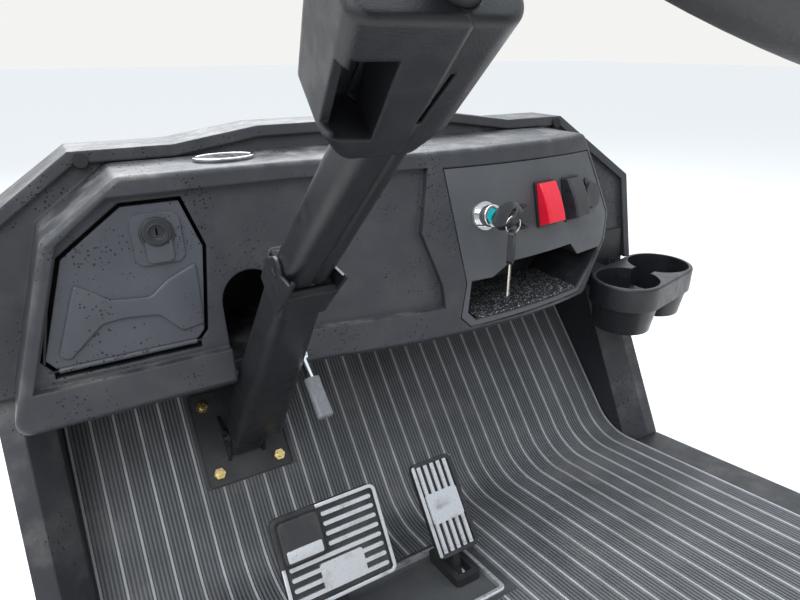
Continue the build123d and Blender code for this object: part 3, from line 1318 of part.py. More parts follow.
def sleeve_solid(inset, start, end):
    """Slightly tapered sleeve of the upper column, less a wall."""
    with BuildPart() as body:
        for at, width in ((0.0, SLEEVE_FOOT_WIDTH), (HOUSING_START + 10.0, SLEEVE_TOP_WIDTH)):
            with BuildSketch(upper_plane(at)):
                RectangleRounded(width - 2 * inset, SLEEVE_DEPTH - 2 * inset, SLEEVE_ROUND - inset)
        loft()
        with BuildSketch(upper_plane(start)):
            Rectangle(2 * SLEEVE_FOOT_WIDTH, 2 * SLEEVE_FOOT_WIDTH)
        extrude(amount=end - start, mode=Mode.INTERSECT)
    return body.part


with BuildPart() as column_sleeve:
    with Locations(Plane(origin=TILT_HINGE, z_dir=(1, 0, 0))):
        Cylinder(KNUCKLE_R, SLEEVE_FOOT_WIDTH)
        Cylinder(HINGE_PIN_R, 2 * (CHEEK_OUT + HINGE_PIN_OUT))
    with BuildSketch(upper_plane(1)):
        Circle(3 * KNUCKLE_R)
    extrude(amount=KNUCKLE_R + 1, mode=Mode.SUBTRACT)
    add(sleeve_solid(0, 1, HOUSING_START + 10))
    # The tube runs in the upper end, the shafts' joint turns in the wide foot
    with BuildSketch(upper_plane(UPPER_JACKET_BOTTOM - SEAT_GAP)):
        Circle(UPPER_JACKET_R + SEAT_GAP)
    extrude(amount=HOUSING_START, mode=Mode.SUBTRACT)
    with BuildSketch(upper_plane(0 - 2 * KNUCKLE_R)):
        Circle(SHAFT_R + MOVE_GAP)
    extrude(amount=2 * KNUCKLE_R + UPPER_JACKET_BOTTOM, mode=Mode.SUBTRACT)
    with BuildSketch(upper_plane(SLEEVE_WALL)):
        with Locations((2, 0 - SLEEVE_DEPTH / 2)):
            Circle(SLEEVE_WALL)
    extrude(amount=HOUSING_START, mode=Mode.SUBTRACT)
column_sleeve.part.label = "column_sleeve"
export_step(column_sleeve.part, "parts/column_sleeve.step")


def housing_section(row, inset):
    """Section of the housing with a round of its own at each corner."""
    at, left, right, up, down = row
    with BuildSketch(upper_plane(at)) as section:
        with BuildLine():
            FilletPolyline(
                (left + inset, down + inset),
                (right - inset, down + inset),
                (right - inset, up - inset),
                (left + inset, up - inset),
                radius=[r - inset for r in HOUSING_ROUNDS],
                close=True,
            )
        make_face()
    return section.sketch


def housing_solid(inset):
    """Head of the column, growing from the sleeve to its full section, less a wall."""
    rows = list(HOUSING_SECTIONS)
    rows[0] = (rows[0][0] + inset, *rows[0][1:])
    rows[-1] = (rows[-1][0] - inset, *rows[-1][1:])
    with BuildPart() as body:
        for low, high in zip(rows, rows[1:]):
            add(housing_section(low, inset))
            add(housing_section(high, inset))
            loft()
    return body.part


def cut_into_housing(outline, deep, grow):
    """Block over an outline on the housing's underside, from a depth out to the seats."""
    with BuildPart() as block:
        with BuildSketch(under_plane(deep - grow)):
            with BuildLine():
                Polyline(*outline, close=True)
            make_face()
            if grow:
                offset(amount=grow, kind=Kind.INTERSECTION)
        extrude(amount=HOUSING_END, dir=UPPER_BACK)
    return block.part


UPPER_LINE = Axis(TILT_HINGE, UPPER_AXIS)
with BuildPart() as pocket_walls:
    add(cut_into_housing(POCKET, POCKET_DEEP, HOUSING_WALL))
    add(cut_into_housing(SLOT, SLOT_DEEP, HOUSING_WALL))
    add(housing_solid(0), mode=Mode.INTERSECT)
with BuildPart() as housing_shell:
    add(housing_solid(0))
    fillet(housing_shell.faces().filter_by(UPPER_LINE).sort_by(UPPER_LINE)[-1].edges(), 5)
    add(housing_solid(HOUSING_WALL), mode=Mode.SUBTRACT)
    add(pocket_walls.part)
    add(cut_into_housing(POCKET, POCKET_DEEP, 0), mode=Mode.SUBTRACT)
    add(cut_into_housing(POCKET_LIP, POCKET_LIP_AT, 0), mode=Mode.SUBTRACT)
    add(cut_into_housing(SLOT, SLOT_DEEP, 0), mode=Mode.SUBTRACT)
    with BuildSketch(upper_plane(HOUSING_START - 5)):
        RectangleRounded(SLEEVE_TOP_WIDTH + 3 * SEAT_GAP, SLEEVE_DEPTH + 2 * SEAT_GAP, SLEEVE_ROUND)
    extrude(amount=15 + 2 * SEAT_GAP, mode=Mode.SUBTRACT)
    with BuildSketch(upper_plane(HOUSING_START)):
        Circle(UPPER_JACKET_R + SEAT_GAP)
    extrude(amount=HOUSING_END, mode=Mode.SUBTRACT)

SEAM_LOW = upper_plane(0).from_local_coords((*SEAM[0], 0))
SEAM_HIGH = upper_plane(0).from_local_coords((*SEAM[1], 0))
SEAM_PLANE = Plane(origin=SEAM_LOW, x_dir=UPPER_AXIS, z_dir=(SEAM_HIGH - SEAM_LOW).cross(UPPER_AXIS))
for name, keep, nudge in (("housing_upper", Keep.TOP, SEAM_GAP), ("housing_lower", Keep.BOTTOM, -SEAM_GAP)):
    with BuildPart() as half_shell:
        add(housing_shell.part)
        split(bisect_by=SEAM_PLANE.offset(nudge), keep=keep)
    half_shell.part.label = name
    export_step(half_shell.part, f"parts/{name}.step")

# Tilt lever at the right of the cover, with its moulded grip
LEVER_ROOT, LEVER_ELBOW, LEVER_TIP = [
    column_plane(at, drop).from_local_coords((LEVER_DX, 0, 0))
    for at, drop in (LEVER_ROOT_AT, LEVER_ELBOW_AT, LEVER_TIP_AT)
]
with BuildPart() as tilt_lever:
    with BuildSketch(Plane(origin=LEVER_ROOT, z_dir=LEVER_ELBOW - LEVER_ROOT)):
        Circle(LEVER_R)
    extrude(amount=(LEVER_ELBOW - LEVER_ROOT).length + 12)
    with Locations(Plane(origin=(COLUMN_X + JACKET_R + SEAT_GAP, LEVER_ROOT.Y, LEVER_ROOT.Z), z_dir=(1, 0, 0))):
        Cylinder(
            LEVER_R,
            LEVER_DX - JACKET_R - SEAT_GAP,
            align=(Align.CENTER, Align.CENTER, Align.MIN),
        )
    with Locations(Plane(origin=LEVER_ROOT, z_dir=(1, 0, 0))):
        Cylinder(8, LEVER_BOSS_LENGTH)
tilt_lever.part.label = "tilt_lever"
export_step(tilt_lever.part, "parts/tilt_lever.step")

with BuildPart() as tilt_grip:
    with BuildSketch(Plane(origin=LEVER_ELBOW, x_dir=(1, 0, 0), z_dir=LEVER_TIP - LEVER_ELBOW)):
        RectangleRounded(20, 13, 5)
    extrude(amount=(LEVER_TIP - LEVER_ELBOW).length)
    fillet(tilt_grip.faces().sort_by(Axis.Y)[0].edges(), 3)
    with BuildSketch(Plane(origin=LEVER_ROOT, z_dir=LEVER_ELBOW - LEVER_ROOT)):
        Circle(LEVER_R + SEAT_GAP / 3)
    extrude(amount=(LEVER_ELBOW - LEVER_ROOT).length + 12, mode=Mode.SUBTRACT)
tilt_grip.part.label = "tilt_grip"
export_step(tilt_grip.part, "parts/tilt_grip.step")

# Steering shafts; their ends meet at the tilt hinge
with BuildPart() as lower_shaft:
    with BuildSketch(column_plane(LOWER_SHAFT_BOTTOM)):
        Circle(SHAFT_R)
    extrude(amount=LOWER_SHAFT_TOP - LOWER_SHAFT_BOTTOM)
lower_shaft.part.label = "lower_shaft"
export_step(lower_shaft.part, "parts/lower_shaft.step")

with BuildPart() as steering_shaft:
    with BuildSketch(upper_plane(UPPER_SHAFT_BOTTOM)):
        Circle(SHAFT_R)
    extrude(amount=UPPER_SHAFT_TOP - UPPER_SHAFT_BOTTOM)
steering_shaft.part.label = "steering_shaft"
export_step(steering_shaft.part, "parts/steering_shaft.step")

with BuildPart() as steering_wheel:
    with Locations(upper_plane(WHEEL_AT)):
        Torus(WHEEL_R, WHEEL_GRIP_R)
    with BuildSketch(upper_plane(WHEEL_AT - 24)):
        Circle(HUB_R)
    extrude(amount=20)
    with BuildSketch(upper_plane(WHEEL_AT - 14)):
        for angle in (0, 180, 270):
            with Locations(Location((0, 0), angle)):
                with Locations((WHEEL_R / 2, 0)):
                    Rectangle(WHEEL_R, SPOKE_WIDTH)
    extrude(amount=SPOKE_THICK)
    with BuildSketch(upper_plane(BOSS_START)):
        Circle(BOSS_R)
    extrude(amount=WHEEL_AT - 20 - BOSS_START)
    with BuildSketch(upper_plane(BOSS_START - 1)):
        Circle(SHAFT_R + SEAT_GAP)
    extrude(amount=UPPER_SHAFT_TOP - BOSS_START + 1, mode=Mode.SUBTRACT)
steering_wheel.part.label = "steering_wheel"
export_step(steering_wheel.part, "parts/steering_wheel.step")

with BuildPart() as wheel_cap:
    with BuildSketch(upper_plane(WHEEL_AT - 4)):
        Circle(CAP_R)
    extrude(amount=14, taper=12)
    fillet(wheel_cap.edges().filter_by(GeomType.CIRCLE).sort_by(Axis.Z)[-1:], 4)
wheel_cap.part.label = "wheel_cap"
export_step(wheel_cap.part, "parts/wheel_cap.step")

# Cross shaft of the pedals and the two plates that hold it under the floor
with BuildPart() as pedal_bracket:
    for x in PEDAL_PLATES:
        with BuildSketch(Plane.YZ.offset(x)):
            with BuildLine():
                drop = PAN_SHEET / cos(radians(FLOOR_FALL))
                Polyline(
                    (PEDAL_SHAFT_Y - 34, floor_z(PEDAL_SHAFT_Y - 34) - drop),
                    (PEDAL_SHAFT_Y + 34, floor_z(PEDAL_SHAFT_Y + 34) - drop),
                    (PEDAL_SHAFT_Y + 18, PEDAL_SHAFT_Z - 18),
                    (PEDAL_SHAFT_Y - 18, PEDAL_SHAFT_Z - 18),
                    close=True,
                )
            make_face()
        extrude(amount=PEDAL_PLATE_SHEET)
    with Locations(Plane(origin=(PEDAL_PLATES[0], PEDAL_SHAFT_Y, PEDAL_SHAFT_Z), z_dir=(1, 0, 0))):
        Cylinder(
            PEDAL_SHAFT_R,
            PEDAL_PLATES[1] + PEDAL_PLATE_SHEET - PEDAL_PLATES[0],
            align=(Align.CENTER, Align.CENTER, Align.MIN),
        )
pedal_bracket.part.label = "pedal_bracket"
export_step(pedal_bracket.part, "parts/pedal_bracket.step")

# Boots round the pedal slots
with BuildPart() as pedal_boots:
    for x in (STOP_X, GO_X):
        with BuildSketch(FLOOR_PLANE):
            with Locations((x, floor_v((PEDAL_SLOT_REAR + PEDAL_SLOT_FRONT) / 2))):
                slot_length = PEDAL_SLOT_FRONT - PEDAL_SLOT_REAR
                RectangleRounded(PEDAL_SLOT_WIDTH + 20, slot_length + 20, 8)
                Rectangle(PEDAL_SLOT_WIDTH, slot_length, mode=Mode.SUBTRACT)
        extrude(amount=BOOT_HEIGHT)
pedal_boots.part.label = "pedal_boots"
export_step(pedal_boots.part, "parts/pedal_boots.step")


def pad_plane(x, bottom, top):
    """Plane of a pedal pad, its local Y up the pad and its normal towards the seats."""
    up = Vector(0, top[0] - bottom[0], top[1] - bottom[1])
    mid = Vector(x, (top[0] + bottom[0]) / 2, (top[1] + bottom[1]) / 2)
    return Plane(origin=mid, x_dir=(1, 0, 0), z_dir=Vector(1, 0, 0).cross(up))


# Pedals: arm, pad and ribs
PEDALS = (
    ("brake", STOP_X, STOP_WIDTH, STOP_BOTTOM, STOP_TOP, 0.0),
    ("go", GO_X, GO_WIDTH, GO_BOTTOM, GO_TOP, 0.0),
)
for name, x, width, bottom, top, shift in PEDALS:
    plane = pad_plane(x, bottom, top)
    height = ((top[0] - bottom[0]) ** 2 + (top[1] - bottom[1]) ** 2) ** 0.5
    with BuildPart() as arm:
        pad_back = plane.offset(-PAD_THICK)
        reach = pad_back.from_local_coords((0, -10, 0))
        up = Vector(0, reach.Y - PEDAL_SHAFT_Y, reach.Z - PEDAL_SHAFT_Z)
        arm_plane = Plane(origin=(x, PEDAL_SHAFT_Y, PEDAL_SHAFT_Z), x_dir=(1, 0, 0), z_dir=up)
        with BuildSketch(arm_plane):
            Rectangle(PEDAL_ARM_THICK, PEDAL_ARM_WIDTH)
        extrude(amount=up.length + 30)
        with BuildSketch(pad_back.offset(0)):
            Rectangle(4 * PEDAL_ARM_WIDTH, 12 * PEDAL_ARM_WIDTH)
        extrude(amount=4 * PEDAL_ARM_WIDTH, mode=Mode.SUBTRACT)
        with Locations(Plane(origin=(x, PEDAL_SHAFT_Y, PEDAL_SHAFT_Z), z_dir=(1, 0, 0))):
            Cylinder(PEDAL_HUB_R, PEDAL_HUB_LENGTH)
            Cylinder(PEDAL_SHAFT_R + RUNNING_FIT, 2 * PEDAL_HUB_LENGTH, mode=Mode.SUBTRACT)
    arm.part.label = f"{name}_arm"
    export_step(arm.part, f"parts/{name}_arm.step")

    with BuildPart() as pad:
        with BuildSketch(plane.offset(-PAD_THICK)):
            RectangleRounded(width, height, PAD_CORNER)
        extrude(amount=PAD_THICK)
        with BuildSketch(plane):
            RectangleRounded(width - 12, height - 12, PAD_CORNER - 4)
        extrude(amount=-PAD_RIB, mode=Mode.SUBTRACT)
    pad.part.label = f"{name}_pad"
    export_step(pad.part, f"parts/{name}_pad.step")

# Bright ribs, round a bare plate: bars across the brake pad, bars along the other
with BuildPart() as brake_ribs:
    with BuildSketch(pad_plane(STOP_X, STOP_BOTTOM, STOP_TOP).offset(-PAD_RIB)):
        for row in range(BRAKE_BARS):
            at = row * BRAKE_PITCH - (BRAKE_BARS - 1) * BRAKE_PITCH / 2
            left = STOP_WIDTH / -2 + BAR_EDGE if at < PARK_LOW else PARK_RIGHT
            right = STOP_WIDTH / 2 - BAR_EDGE
            with Locations(((left + right) / 2, at)):
                SlotOverall(right - left, BRAKE_BAR)
        with Locations(BRAKE_PLATE_AT):
            RectangleRounded(BRAKE_PLATE[0], BRAKE_PLATE[1], 4)
    extrude(amount=PAD_RIB + BAR_PROUD)
brake_ribs.part.label = "brake_ribs"
export_step(brake_ribs.part, "parts/brake_ribs.step")

with BuildPart() as go_ribs:
    height = ((GO_TOP[0] - GO_BOTTOM[0]) ** 2 + (GO_TOP[1] - GO_BOTTOM[1]) ** 2) ** 0.5
    with BuildSketch(pad_plane(GO_X, GO_BOTTOM, GO_TOP).offset(-PAD_RIB)):
        for column in range(GO_BARS):
            with Locations(((column - (GO_BARS - 1) / 2) * GO_PITCH, 0)):
                SlotOverall(height - 2 * BAR_EDGE, GO_BAR, rotation=90)
        RectangleRounded(GO_PLATE[0], GO_PLATE[1], 4)
    extrude(amount=PAD_RIB + BAR_PROUD)
go_ribs.part.label = "go_ribs"
export_step(go_ribs.part, "parts/go_ribs.step")

# Parking lock pad at the brake pad's upper left corner
with BuildPart() as park_pad:
    plane = pad_plane(STOP_X, STOP_BOTTOM, STOP_TOP)
    with BuildSketch(plane.offset(-PAD_RIB)):
        with Locations((-42, 27)):
            RectangleRounded(PARK_WIDTH, PARK_HEIGHT, 8)
    extrude(amount=PAD_RIB + PARK_PROUD)
    fillet(park_pad.faces().sort_by(Axis.Y)[0].edges(), 3)
park_pad.part.label = "park_pad"
export_step(park_pad.part, "parts/park_pad.step")
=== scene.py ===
"""Finishes and fine detail for the front cockpit section of a golf cart, laid out as a Blender add-on."""
import math

import bmesh
import bpy
from bpy.props import FloatProperty, FloatVectorProperty, IntProperty, PointerProperty
from mathutils import Matrix, Vector


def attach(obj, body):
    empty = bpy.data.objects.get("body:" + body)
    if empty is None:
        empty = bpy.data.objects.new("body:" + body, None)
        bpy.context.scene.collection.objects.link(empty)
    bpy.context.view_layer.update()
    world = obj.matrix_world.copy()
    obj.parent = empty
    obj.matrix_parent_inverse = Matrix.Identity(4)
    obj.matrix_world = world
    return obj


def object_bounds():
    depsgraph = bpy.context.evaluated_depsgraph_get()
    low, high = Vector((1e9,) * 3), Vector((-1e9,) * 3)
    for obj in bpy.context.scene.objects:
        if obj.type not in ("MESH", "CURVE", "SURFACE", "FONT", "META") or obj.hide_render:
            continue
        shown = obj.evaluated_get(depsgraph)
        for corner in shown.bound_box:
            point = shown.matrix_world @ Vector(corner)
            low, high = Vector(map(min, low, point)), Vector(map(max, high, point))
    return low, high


bl_info = {
    "name": "Golf cart cockpit section",
    "version": (1, 0, 0),
    "blender": (4, 5, 0),
    "location": "View3D > Sidebar > Cockpit",
    "description": "Builds the looks of a golf cart's dash, column, pedals and footwell on its packed frame",
    "category": "Object",
}

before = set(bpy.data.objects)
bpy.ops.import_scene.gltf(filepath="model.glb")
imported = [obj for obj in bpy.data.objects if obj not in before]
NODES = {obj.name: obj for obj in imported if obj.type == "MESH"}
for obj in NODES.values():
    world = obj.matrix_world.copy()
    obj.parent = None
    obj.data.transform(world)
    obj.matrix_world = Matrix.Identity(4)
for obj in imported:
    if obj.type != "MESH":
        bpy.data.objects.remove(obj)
CAD_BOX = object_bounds()
MM = 0.001

# Directions and places that the parts follow, from the same values as the solids
ACROSS = Vector((1, 0, 0))
AHEAD = Vector((0, 1, 0))
DASH_LEAN = math.radians(12.8)
LEAN_UP = Vector((0, math.sin(DASH_LEAN), math.cos(DASH_LEAN)))
DASH_BOTTOM = 440 * MM
FACE_Y = 108 * MM
BOW_START = -150 * MM
BOW_CENTRE = Vector((110.83, 1076.71)) * MM
BOW_RADIUS = 1003.21 * MM
FIELD_DEPTH = 12 * MM
SHELF_TOP = 712 * MM
FLOOR_FALL = math.radians(9.2)
TOE_RISE = math.radians(47.5)
FLOOR_AHEAD = Vector((0, math.cos(FLOOR_FALL), -math.sin(FLOOR_FALL)))
FLOOR_UP = Vector((0, math.sin(FLOOR_FALL), math.cos(FLOOR_FALL)))
TOE_AHEAD = Vector((0, math.cos(TOE_RISE), math.sin(TOE_RISE)))
TOE_CORNER = Vector((0, 119.9, 84.2)) * MM
BEND_R = 100 * MM
BEND_TURN = FLOOR_FALL + TOE_RISE
BEND_START = TOE_CORNER - FLOOR_AHEAD * BEND_R * math.tan(BEND_TURN / 2)
BEND_CENTRE = BEND_START + FLOOR_UP * BEND_R

# How deep a piece that is laid on a surface reaches into it
SINK = 0.3 * MM

# The glove box door: its stamped relief, and its lock with a guard below it
DOOR_BELT = (
    (-474, 522), (-443, 600), (-409, 576), (-364, 571), (-341, 588), (-304, 603), (-306, 526), (-334, 522),
    (-357, 547), (-396, 551), (-421, 549), (-462, 515),
)
BELT_MIDDLE = Vector((-397 * MM, 590 * MM))
BELT_CORNER = 5 * MM
BELT_HEIGHT = 4.2 * MM
BELT_EDGE = 2.6 * MM
LOCK_AT = (-343 * MM, 643 * MM)
LOCK_PAD_PROUD = 3 * MM
COLLAR_PROUD = 8.2 * MM
GUARD = {"width": 32 * MM, "height": 30 * MM, "y": -20 * MM}
GUARD_CORNER = 7 * MM
GUARD_HEIGHT = 4 * MM
GUARD_EDGE = 1.2 * MM

# Rings: outer radius, inner radius, height and rounding of the edge
COLLAR_RING = (20.5 * MM, 15 * MM, 3.5 * MM, 1.4 * MM)
BARREL_RING = (13 * MM, 10.5 * MM, 1.4 * MM, 0.6 * MM)
BADGE_AT = (-236 * MM, 226 * MM)
BADGE_RING = (41 * MM, 36.5 * MM, 5.4 * MM, 1.2 * MM)
BADGE_SIDES = 72
BADGE_OVAL = 0.61
LAMP_AT = (117 * MM, 613 * MM)
LAMP_RING = (21 * MM, 15.5 * MM, 3.5 * MM, 1.0 * MM)
LAMP_SIDES = 60
SOCKET_AT = (374 * MM, 608 * MM)
CAP_TOP = 9 * MM
CAP_RINGS = (
    (20 * MM, 17.6 * MM, 1.2 * MM, 0.5 * MM),
    (13 * MM, 10.6 * MM, 1.2 * MM, 0.5 * MM),
)

# The pads: body, middle, lower end, upper end and width in mm
PADS = (
    ("brake", -211, (-60, 190), (10, 290), 152),
    ("go", -21, (-50, 155), (40, 264), 72),
)
TRIM_HEIGHT = 2.2 * MM
TRIM_EDGE = 0.8 * MM
PLATE_EDGE = 0.6 * MM
BRAKE_MARGIN = 1 * MM
BRAKE_CORNER = 9.5 * MM
BRAKE_BAND = 5 * MM
PARK_SIDE = -13 * MM
PARK_FOOT = -2 * MM
PARK_PROUD = 11 * MM
PARK_PLATE = {"width": 48 * MM, "height": 15 * MM, "x": -42 * MM, "y": 11 * MM}
PARK_PLATE_CORNER = 2.5 * MM
PARK_PLATE_HEIGHT = 1.6 * MM
SIDE_BAR_WIDTH = 5.6 * MM
SIDE_BAR_CORNER = 2.7 * MM
SIDE_BAR_IN = 3.3 * MM
SIDE_BAR_MARGIN = 6 * MM
BAR_WIDTH = 6.6 * MM
BAR_CORNER = 3.2 * MM
BAR_PITCH = 11.5 * MM
BAR_MARGIN = 8 * MM
BARS_EACH_SIDE = 2
GO_PLATE = {"width": 55 * MM, "height": 45 * MM}
GO_PLATE_CORNER = 4 * MM
GO_PLATE_HEIGHT = 2.8 * MM

# The mat: its solid, the two openings in it and the shape of its ribs
MAT_THICK = 5 * MM
MAT_HALF = 498 * MM
MAT_REAR = -364 * MM
MAT_FRONT = 341 * MM
OPENING = {"left": -304 * MM, "right": 22 * MM, "rear": -128 * MM, "front": 26 * MM}
CUTOUT = {"left": -322 * MM, "right": -174 * MM, "rear": 218 * MM, "front": 333 * MM}
RIB_SINK = 0.4 * MM
RIB_CHAMFER = 0.4 * MM
RIB_BEND_STEPS = 9
FINE_WIDTH = 0.55
FINE_HEIGHT = 0.7

# The stage: the camera, and each lamp's place, aim, watts and size
FLOOR_REACH = 30
FLOOR_BELOW = 1 * MM
CAMERA_AT = (-0.4433, -0.590, 0.850)
CAMERA_TURN = (math.radians(67.1), 0, math.radians(-30.4))
CAMERA_LENS = 27.0
CAMERA_NEAR = 0.02
LAMP_COLOUR = (0.95, 0.97, 1.0)
LAMPS = (
    ("key_light", (-1.4, -1.3, 2.8), (0, 0, 0.3), 62.0, 2.4),
    ("sky_light", (0.2, 2.0, 2.6), (0, 0.1, 0.5), 120.0, 3.0),
)


class CockpitFinish(bpy.types.PropertyGroup):
    """Colours of the mouldings, rubber and metal."""

    moulding: FloatVectorProperty(
        name="Dash moulding", description="Colour of the grained dash plastic", subtype="COLOR",
        size=3, min=0, max=1, default=(0.026, 0.028, 0.034),
    )
    column: FloatVectorProperty(
        name="Column moulding", description="Colour of the column covers", subtype="COLOR",
        size=3, min=0, max=1, default=(0.010, 0.0105, 0.013),
    )
    panel: FloatVectorProperty(
        name="Switch panel", description="Colour of the smoother switch panel", subtype="COLOR",
        size=3, min=0, max=1, default=(0.062, 0.066, 0.073),
    )
    mat: FloatVectorProperty(
        name="Floor mat", description="Colour of the clean ribbed rubber", subtype="COLOR",
        size=3, min=0, max=1, default=(0.13, 0.136, 0.146),
    )
    # The bands' colour is far lighter than the rubber's: a painted sheen of the sky on their smooth tops
    band_with_sheen: FloatVectorProperty(
        name="Mat bands", description="Colour of the mat's smooth, worn bands", subtype="COLOR",
        size=3, min=0, max=1, default=(0.38, 0.39, 0.40),
    )
    # Besides dust and mud, this colour paints the sheen of the sky where it lies on the mouldings' top faces
    mud: FloatVectorProperty(
        name="Dried mud", description="Colour of the dust and dried mud", subtype="COLOR",
        size=3, min=0, max=1, default=(0.26, 0.245, 0.225),
    )
    silver: FloatVectorProperty(
        name="Pedal bars", description="Colour of the satin silver bars and bead", subtype="COLOR",
        size=3, min=0, max=1, default=(0.58, 0.59, 0.61),
    )


class CockpitSizes(bpy.types.PropertyGroup):
    """Sizes of the repeated detail."""

    band_pitch: FloatProperty(
        name="Band pitch", description="Distance between the mat's smooth bands", subtype="DISTANCE",
        min=0.01, default=0.033,
    )
    band_width: FloatProperty(
        name="Band width", description="Width of the mat's smooth bands", subtype="DISTANCE",
        min=0.001, default=0.0040,
    )
    fine_ribs: IntProperty(
        name="Fine ribs", description="Number of fine ribs between two bands", min=1, max=12, default=5,
    )
    rib_height: FloatProperty(
        name="Rib height", description="How far the mat's ribs stand up", subtype="DISTANCE",
        min=0.0002, default=0.0016,
    )


# Materials


def fresh_material(name):
    """A new material with its shader, ready for nodes."""
    material = bpy.data.materials.new(name)
    material.use_nodes = True
    tree = material.node_tree
    tree.nodes.clear()
    output = tree.nodes.new("ShaderNodeOutputMaterial")
    shader = tree.nodes.new("ShaderNodeBsdfPrincipled")
    tree.links.new(shader.outputs["BSDF"], output.inputs["Surface"])
    return material, tree, shader


def place(tree, stretch=(1, 1, 1)):
    """Object coordinates, stretched for a pattern."""
    coordinates = tree.nodes.new("ShaderNodeTexCoord")
    mapping = tree.nodes.new("ShaderNodeMapping")
    mapping.inputs["Scale"].default_value = stretch
    tree.links.new(coordinates.outputs["Object"], mapping.inputs["Vector"])
    return mapping.outputs["Vector"]


def noise(tree, scale, detail=4.0, rough=0.55, stretch=(1, 1, 1)):
    """Noise on the piece's own coordinates."""
    texture = tree.nodes.new("ShaderNodeTexNoise")
    texture.inputs["Scale"].default_value = scale
    texture.inputs["Detail"].default_value = detail
    texture.inputs["Roughness"].default_value = rough
    tree.links.new(place(tree, stretch), texture.inputs["Vector"])
    return texture.outputs["Fac"]


def cells(tree, scale):
    """Cells on the piece's own coordinates: the distance from a cell's middle, and each cell's own colour."""
    texture = tree.nodes.new("ShaderNodeTexVoronoi")
    texture.inputs["Scale"].default_value = scale
    tree.links.new(place(tree), texture.inputs["Vector"])
    return texture.outputs["Distance"], texture.outputs["Color"]


def red_of(tree, colour):
    """The red of a colour, which gives each cell a number of its own."""
    split = tree.nodes.new("ShaderNodeSeparateColor")
    tree.links.new(colour, split.inputs["Color"])
    return split.outputs["Red"]


def spread(tree, value, low, high, start=0.0, end=1.0):
    """A value's range from low to high, spread smoothly from start to end."""
    ranged = tree.nodes.new("ShaderNodeMapRange")
    ranged.interpolation_type = "SMOOTHSTEP"
    ranged.inputs["From Min"].default_value = low
    ranged.inputs["From Max"].default_value = high
    ranged.inputs["To Min"].default_value = start
    ranged.inputs["To Max"].default_value = end
    tree.links.new(value, ranged.inputs["Value"])
    return ranged.outputs["Result"]


def combine(tree, kind, first, second):
    """Math on two sockets or numbers."""
    node = tree.nodes.new("ShaderNodeMath")
    node.operation = kind
    for socket, value in zip(node.inputs, (first, second)):
        if isinstance(value, (int, float)):
            socket.default_value = value
        else:
            tree.links.new(value, socket)
    return node.outputs["Value"]


def mixed(tree, factor, first, second):
    """Colour mix of two colours or sockets."""
    node = tree.nodes.new("ShaderNodeMix")
    node.data_type = "RGBA"
    tree.links.new(factor, node.inputs["Factor"])
    for socket, value in ((node.inputs["A"], first), (node.inputs["B"], second)):
        if isinstance(value, bpy.types.NodeSocket):
            tree.links.new(value, socket)
        else:
            socket.default_value = (*value, 1)
    return node.outputs["Result"]


def facing_up(tree):
    """How much a surface faces up, from 0 to 1."""
    geometry = tree.nodes.new("ShaderNodeNewGeometry")
    split = tree.nodes.new("ShaderNodeSeparateXYZ")
    tree.links.new(geometry.outputs["True Normal"], split.inputs["Vector"])
    return spread(tree, split.outputs["Z"], 0.05, 0.85)


def relief(tree, height, depth, before):
    """Bump from a height, on top of an earlier normal."""
    bump = tree.nodes.new("ShaderNodeBump")
    bump.inputs["Distance"].default_value = depth
    bump.inputs["Strength"].default_value = 1.0
    tree.links.new(height, bump.inputs["Height"])
    tree.links.new(before, bump.inputs["Normal"])
    return bump.outputs["Normal"]


def soft_edges(tree, radius):
    """Normal that rounds a part's sharp edges."""
    bevel = tree.nodes.new("ShaderNodeBevel")
    bevel.samples = 4
    bevel.inputs["Radius"].default_value = radius
    return bevel.outputs["Normal"]


def surface(tree, shader, base, rough, normal):
    """Links a finish's colour, roughness and normal to its shader."""
    for name, socket in (("Base Color", base), ("Roughness", rough), ("Normal", normal)):
        tree.links.new(socket, shader.inputs[name])


def shade(colour, factor):
    """A colour made lighter or darker."""
    return tuple(min(1.0, channel * factor) for channel in colour)


def dried_drops(tree, amount):
    """Where drops of water dried, more of them in some places than in others."""
    warp = noise(tree, 260.0, 2.0)
    distance, colour = cells(tree, 250.0)
    wet = spread(tree, noise(tree, 13.0, 4.0, 0.7), 0.40, 0.60, 0.0, amount)
    size = combine(tree, "MULTIPLY", wet, red_of(tree, colour))
    reach = combine(tree, "ADD", distance, combine(tree, "MULTIPLY", warp, 0.12))
    return spread(tree, combine(tree, "SUBTRACT", size, reach), -0.06, 0.0)


def moulding_material(name, colour, rough=0.5, grain=0.00012, drops=0.0, dust_and_sheen=0.35, edge=0.0015):
    """Grained plastic with faint blotches, dust on what faces up that also paints the sheen of the sky there,
    and dried drops of water.
    """
    material, tree, shader = fresh_material(name)
    finish = bpy.context.scene.cockpit_finish
    blotch = spread(tree, noise(tree, 7.0), 0.3, 0.7)
    base = mixed(tree, blotch, shade(colour, 0.86), shade(colour, 1.14))
    # Dust on what faces up, laid on heavily enough to be also a painted sheen of the sky on top faces such as
    # the shelf
    top_film_and_sheen = combine(tree, "MULTIPLY", spread(tree, noise(tree, 23.0, 6.0), 0.42, 0.75), facing_up(tree))
    top_film_and_sheen = combine(tree, "MULTIPLY", top_film_and_sheen, dust_and_sheen)
    base = mixed(tree, top_film_and_sheen, base, finish.mud)
    uneven = spread(tree, noise(tree, 60.0, 3.0), 0.3, 0.7, rough - 0.06, rough + 0.07)
    pits = cells(tree, 900.0)[0]
    normal = relief(tree, pits, grain, soft_edges(tree, edge))
    if drops:
        bead = dried_drops(tree, drops)
        normal = relief(tree, bead, 0.0006, normal)
        base = mixed(tree, bead, base, shade(colour, 0.3))
        uneven = combine(tree, "SUBTRACT", uneven, combine(tree, "MULTIPLY", bead, rough * 0.75))
    surface(tree, shader, base, uneven, normal)
    return material


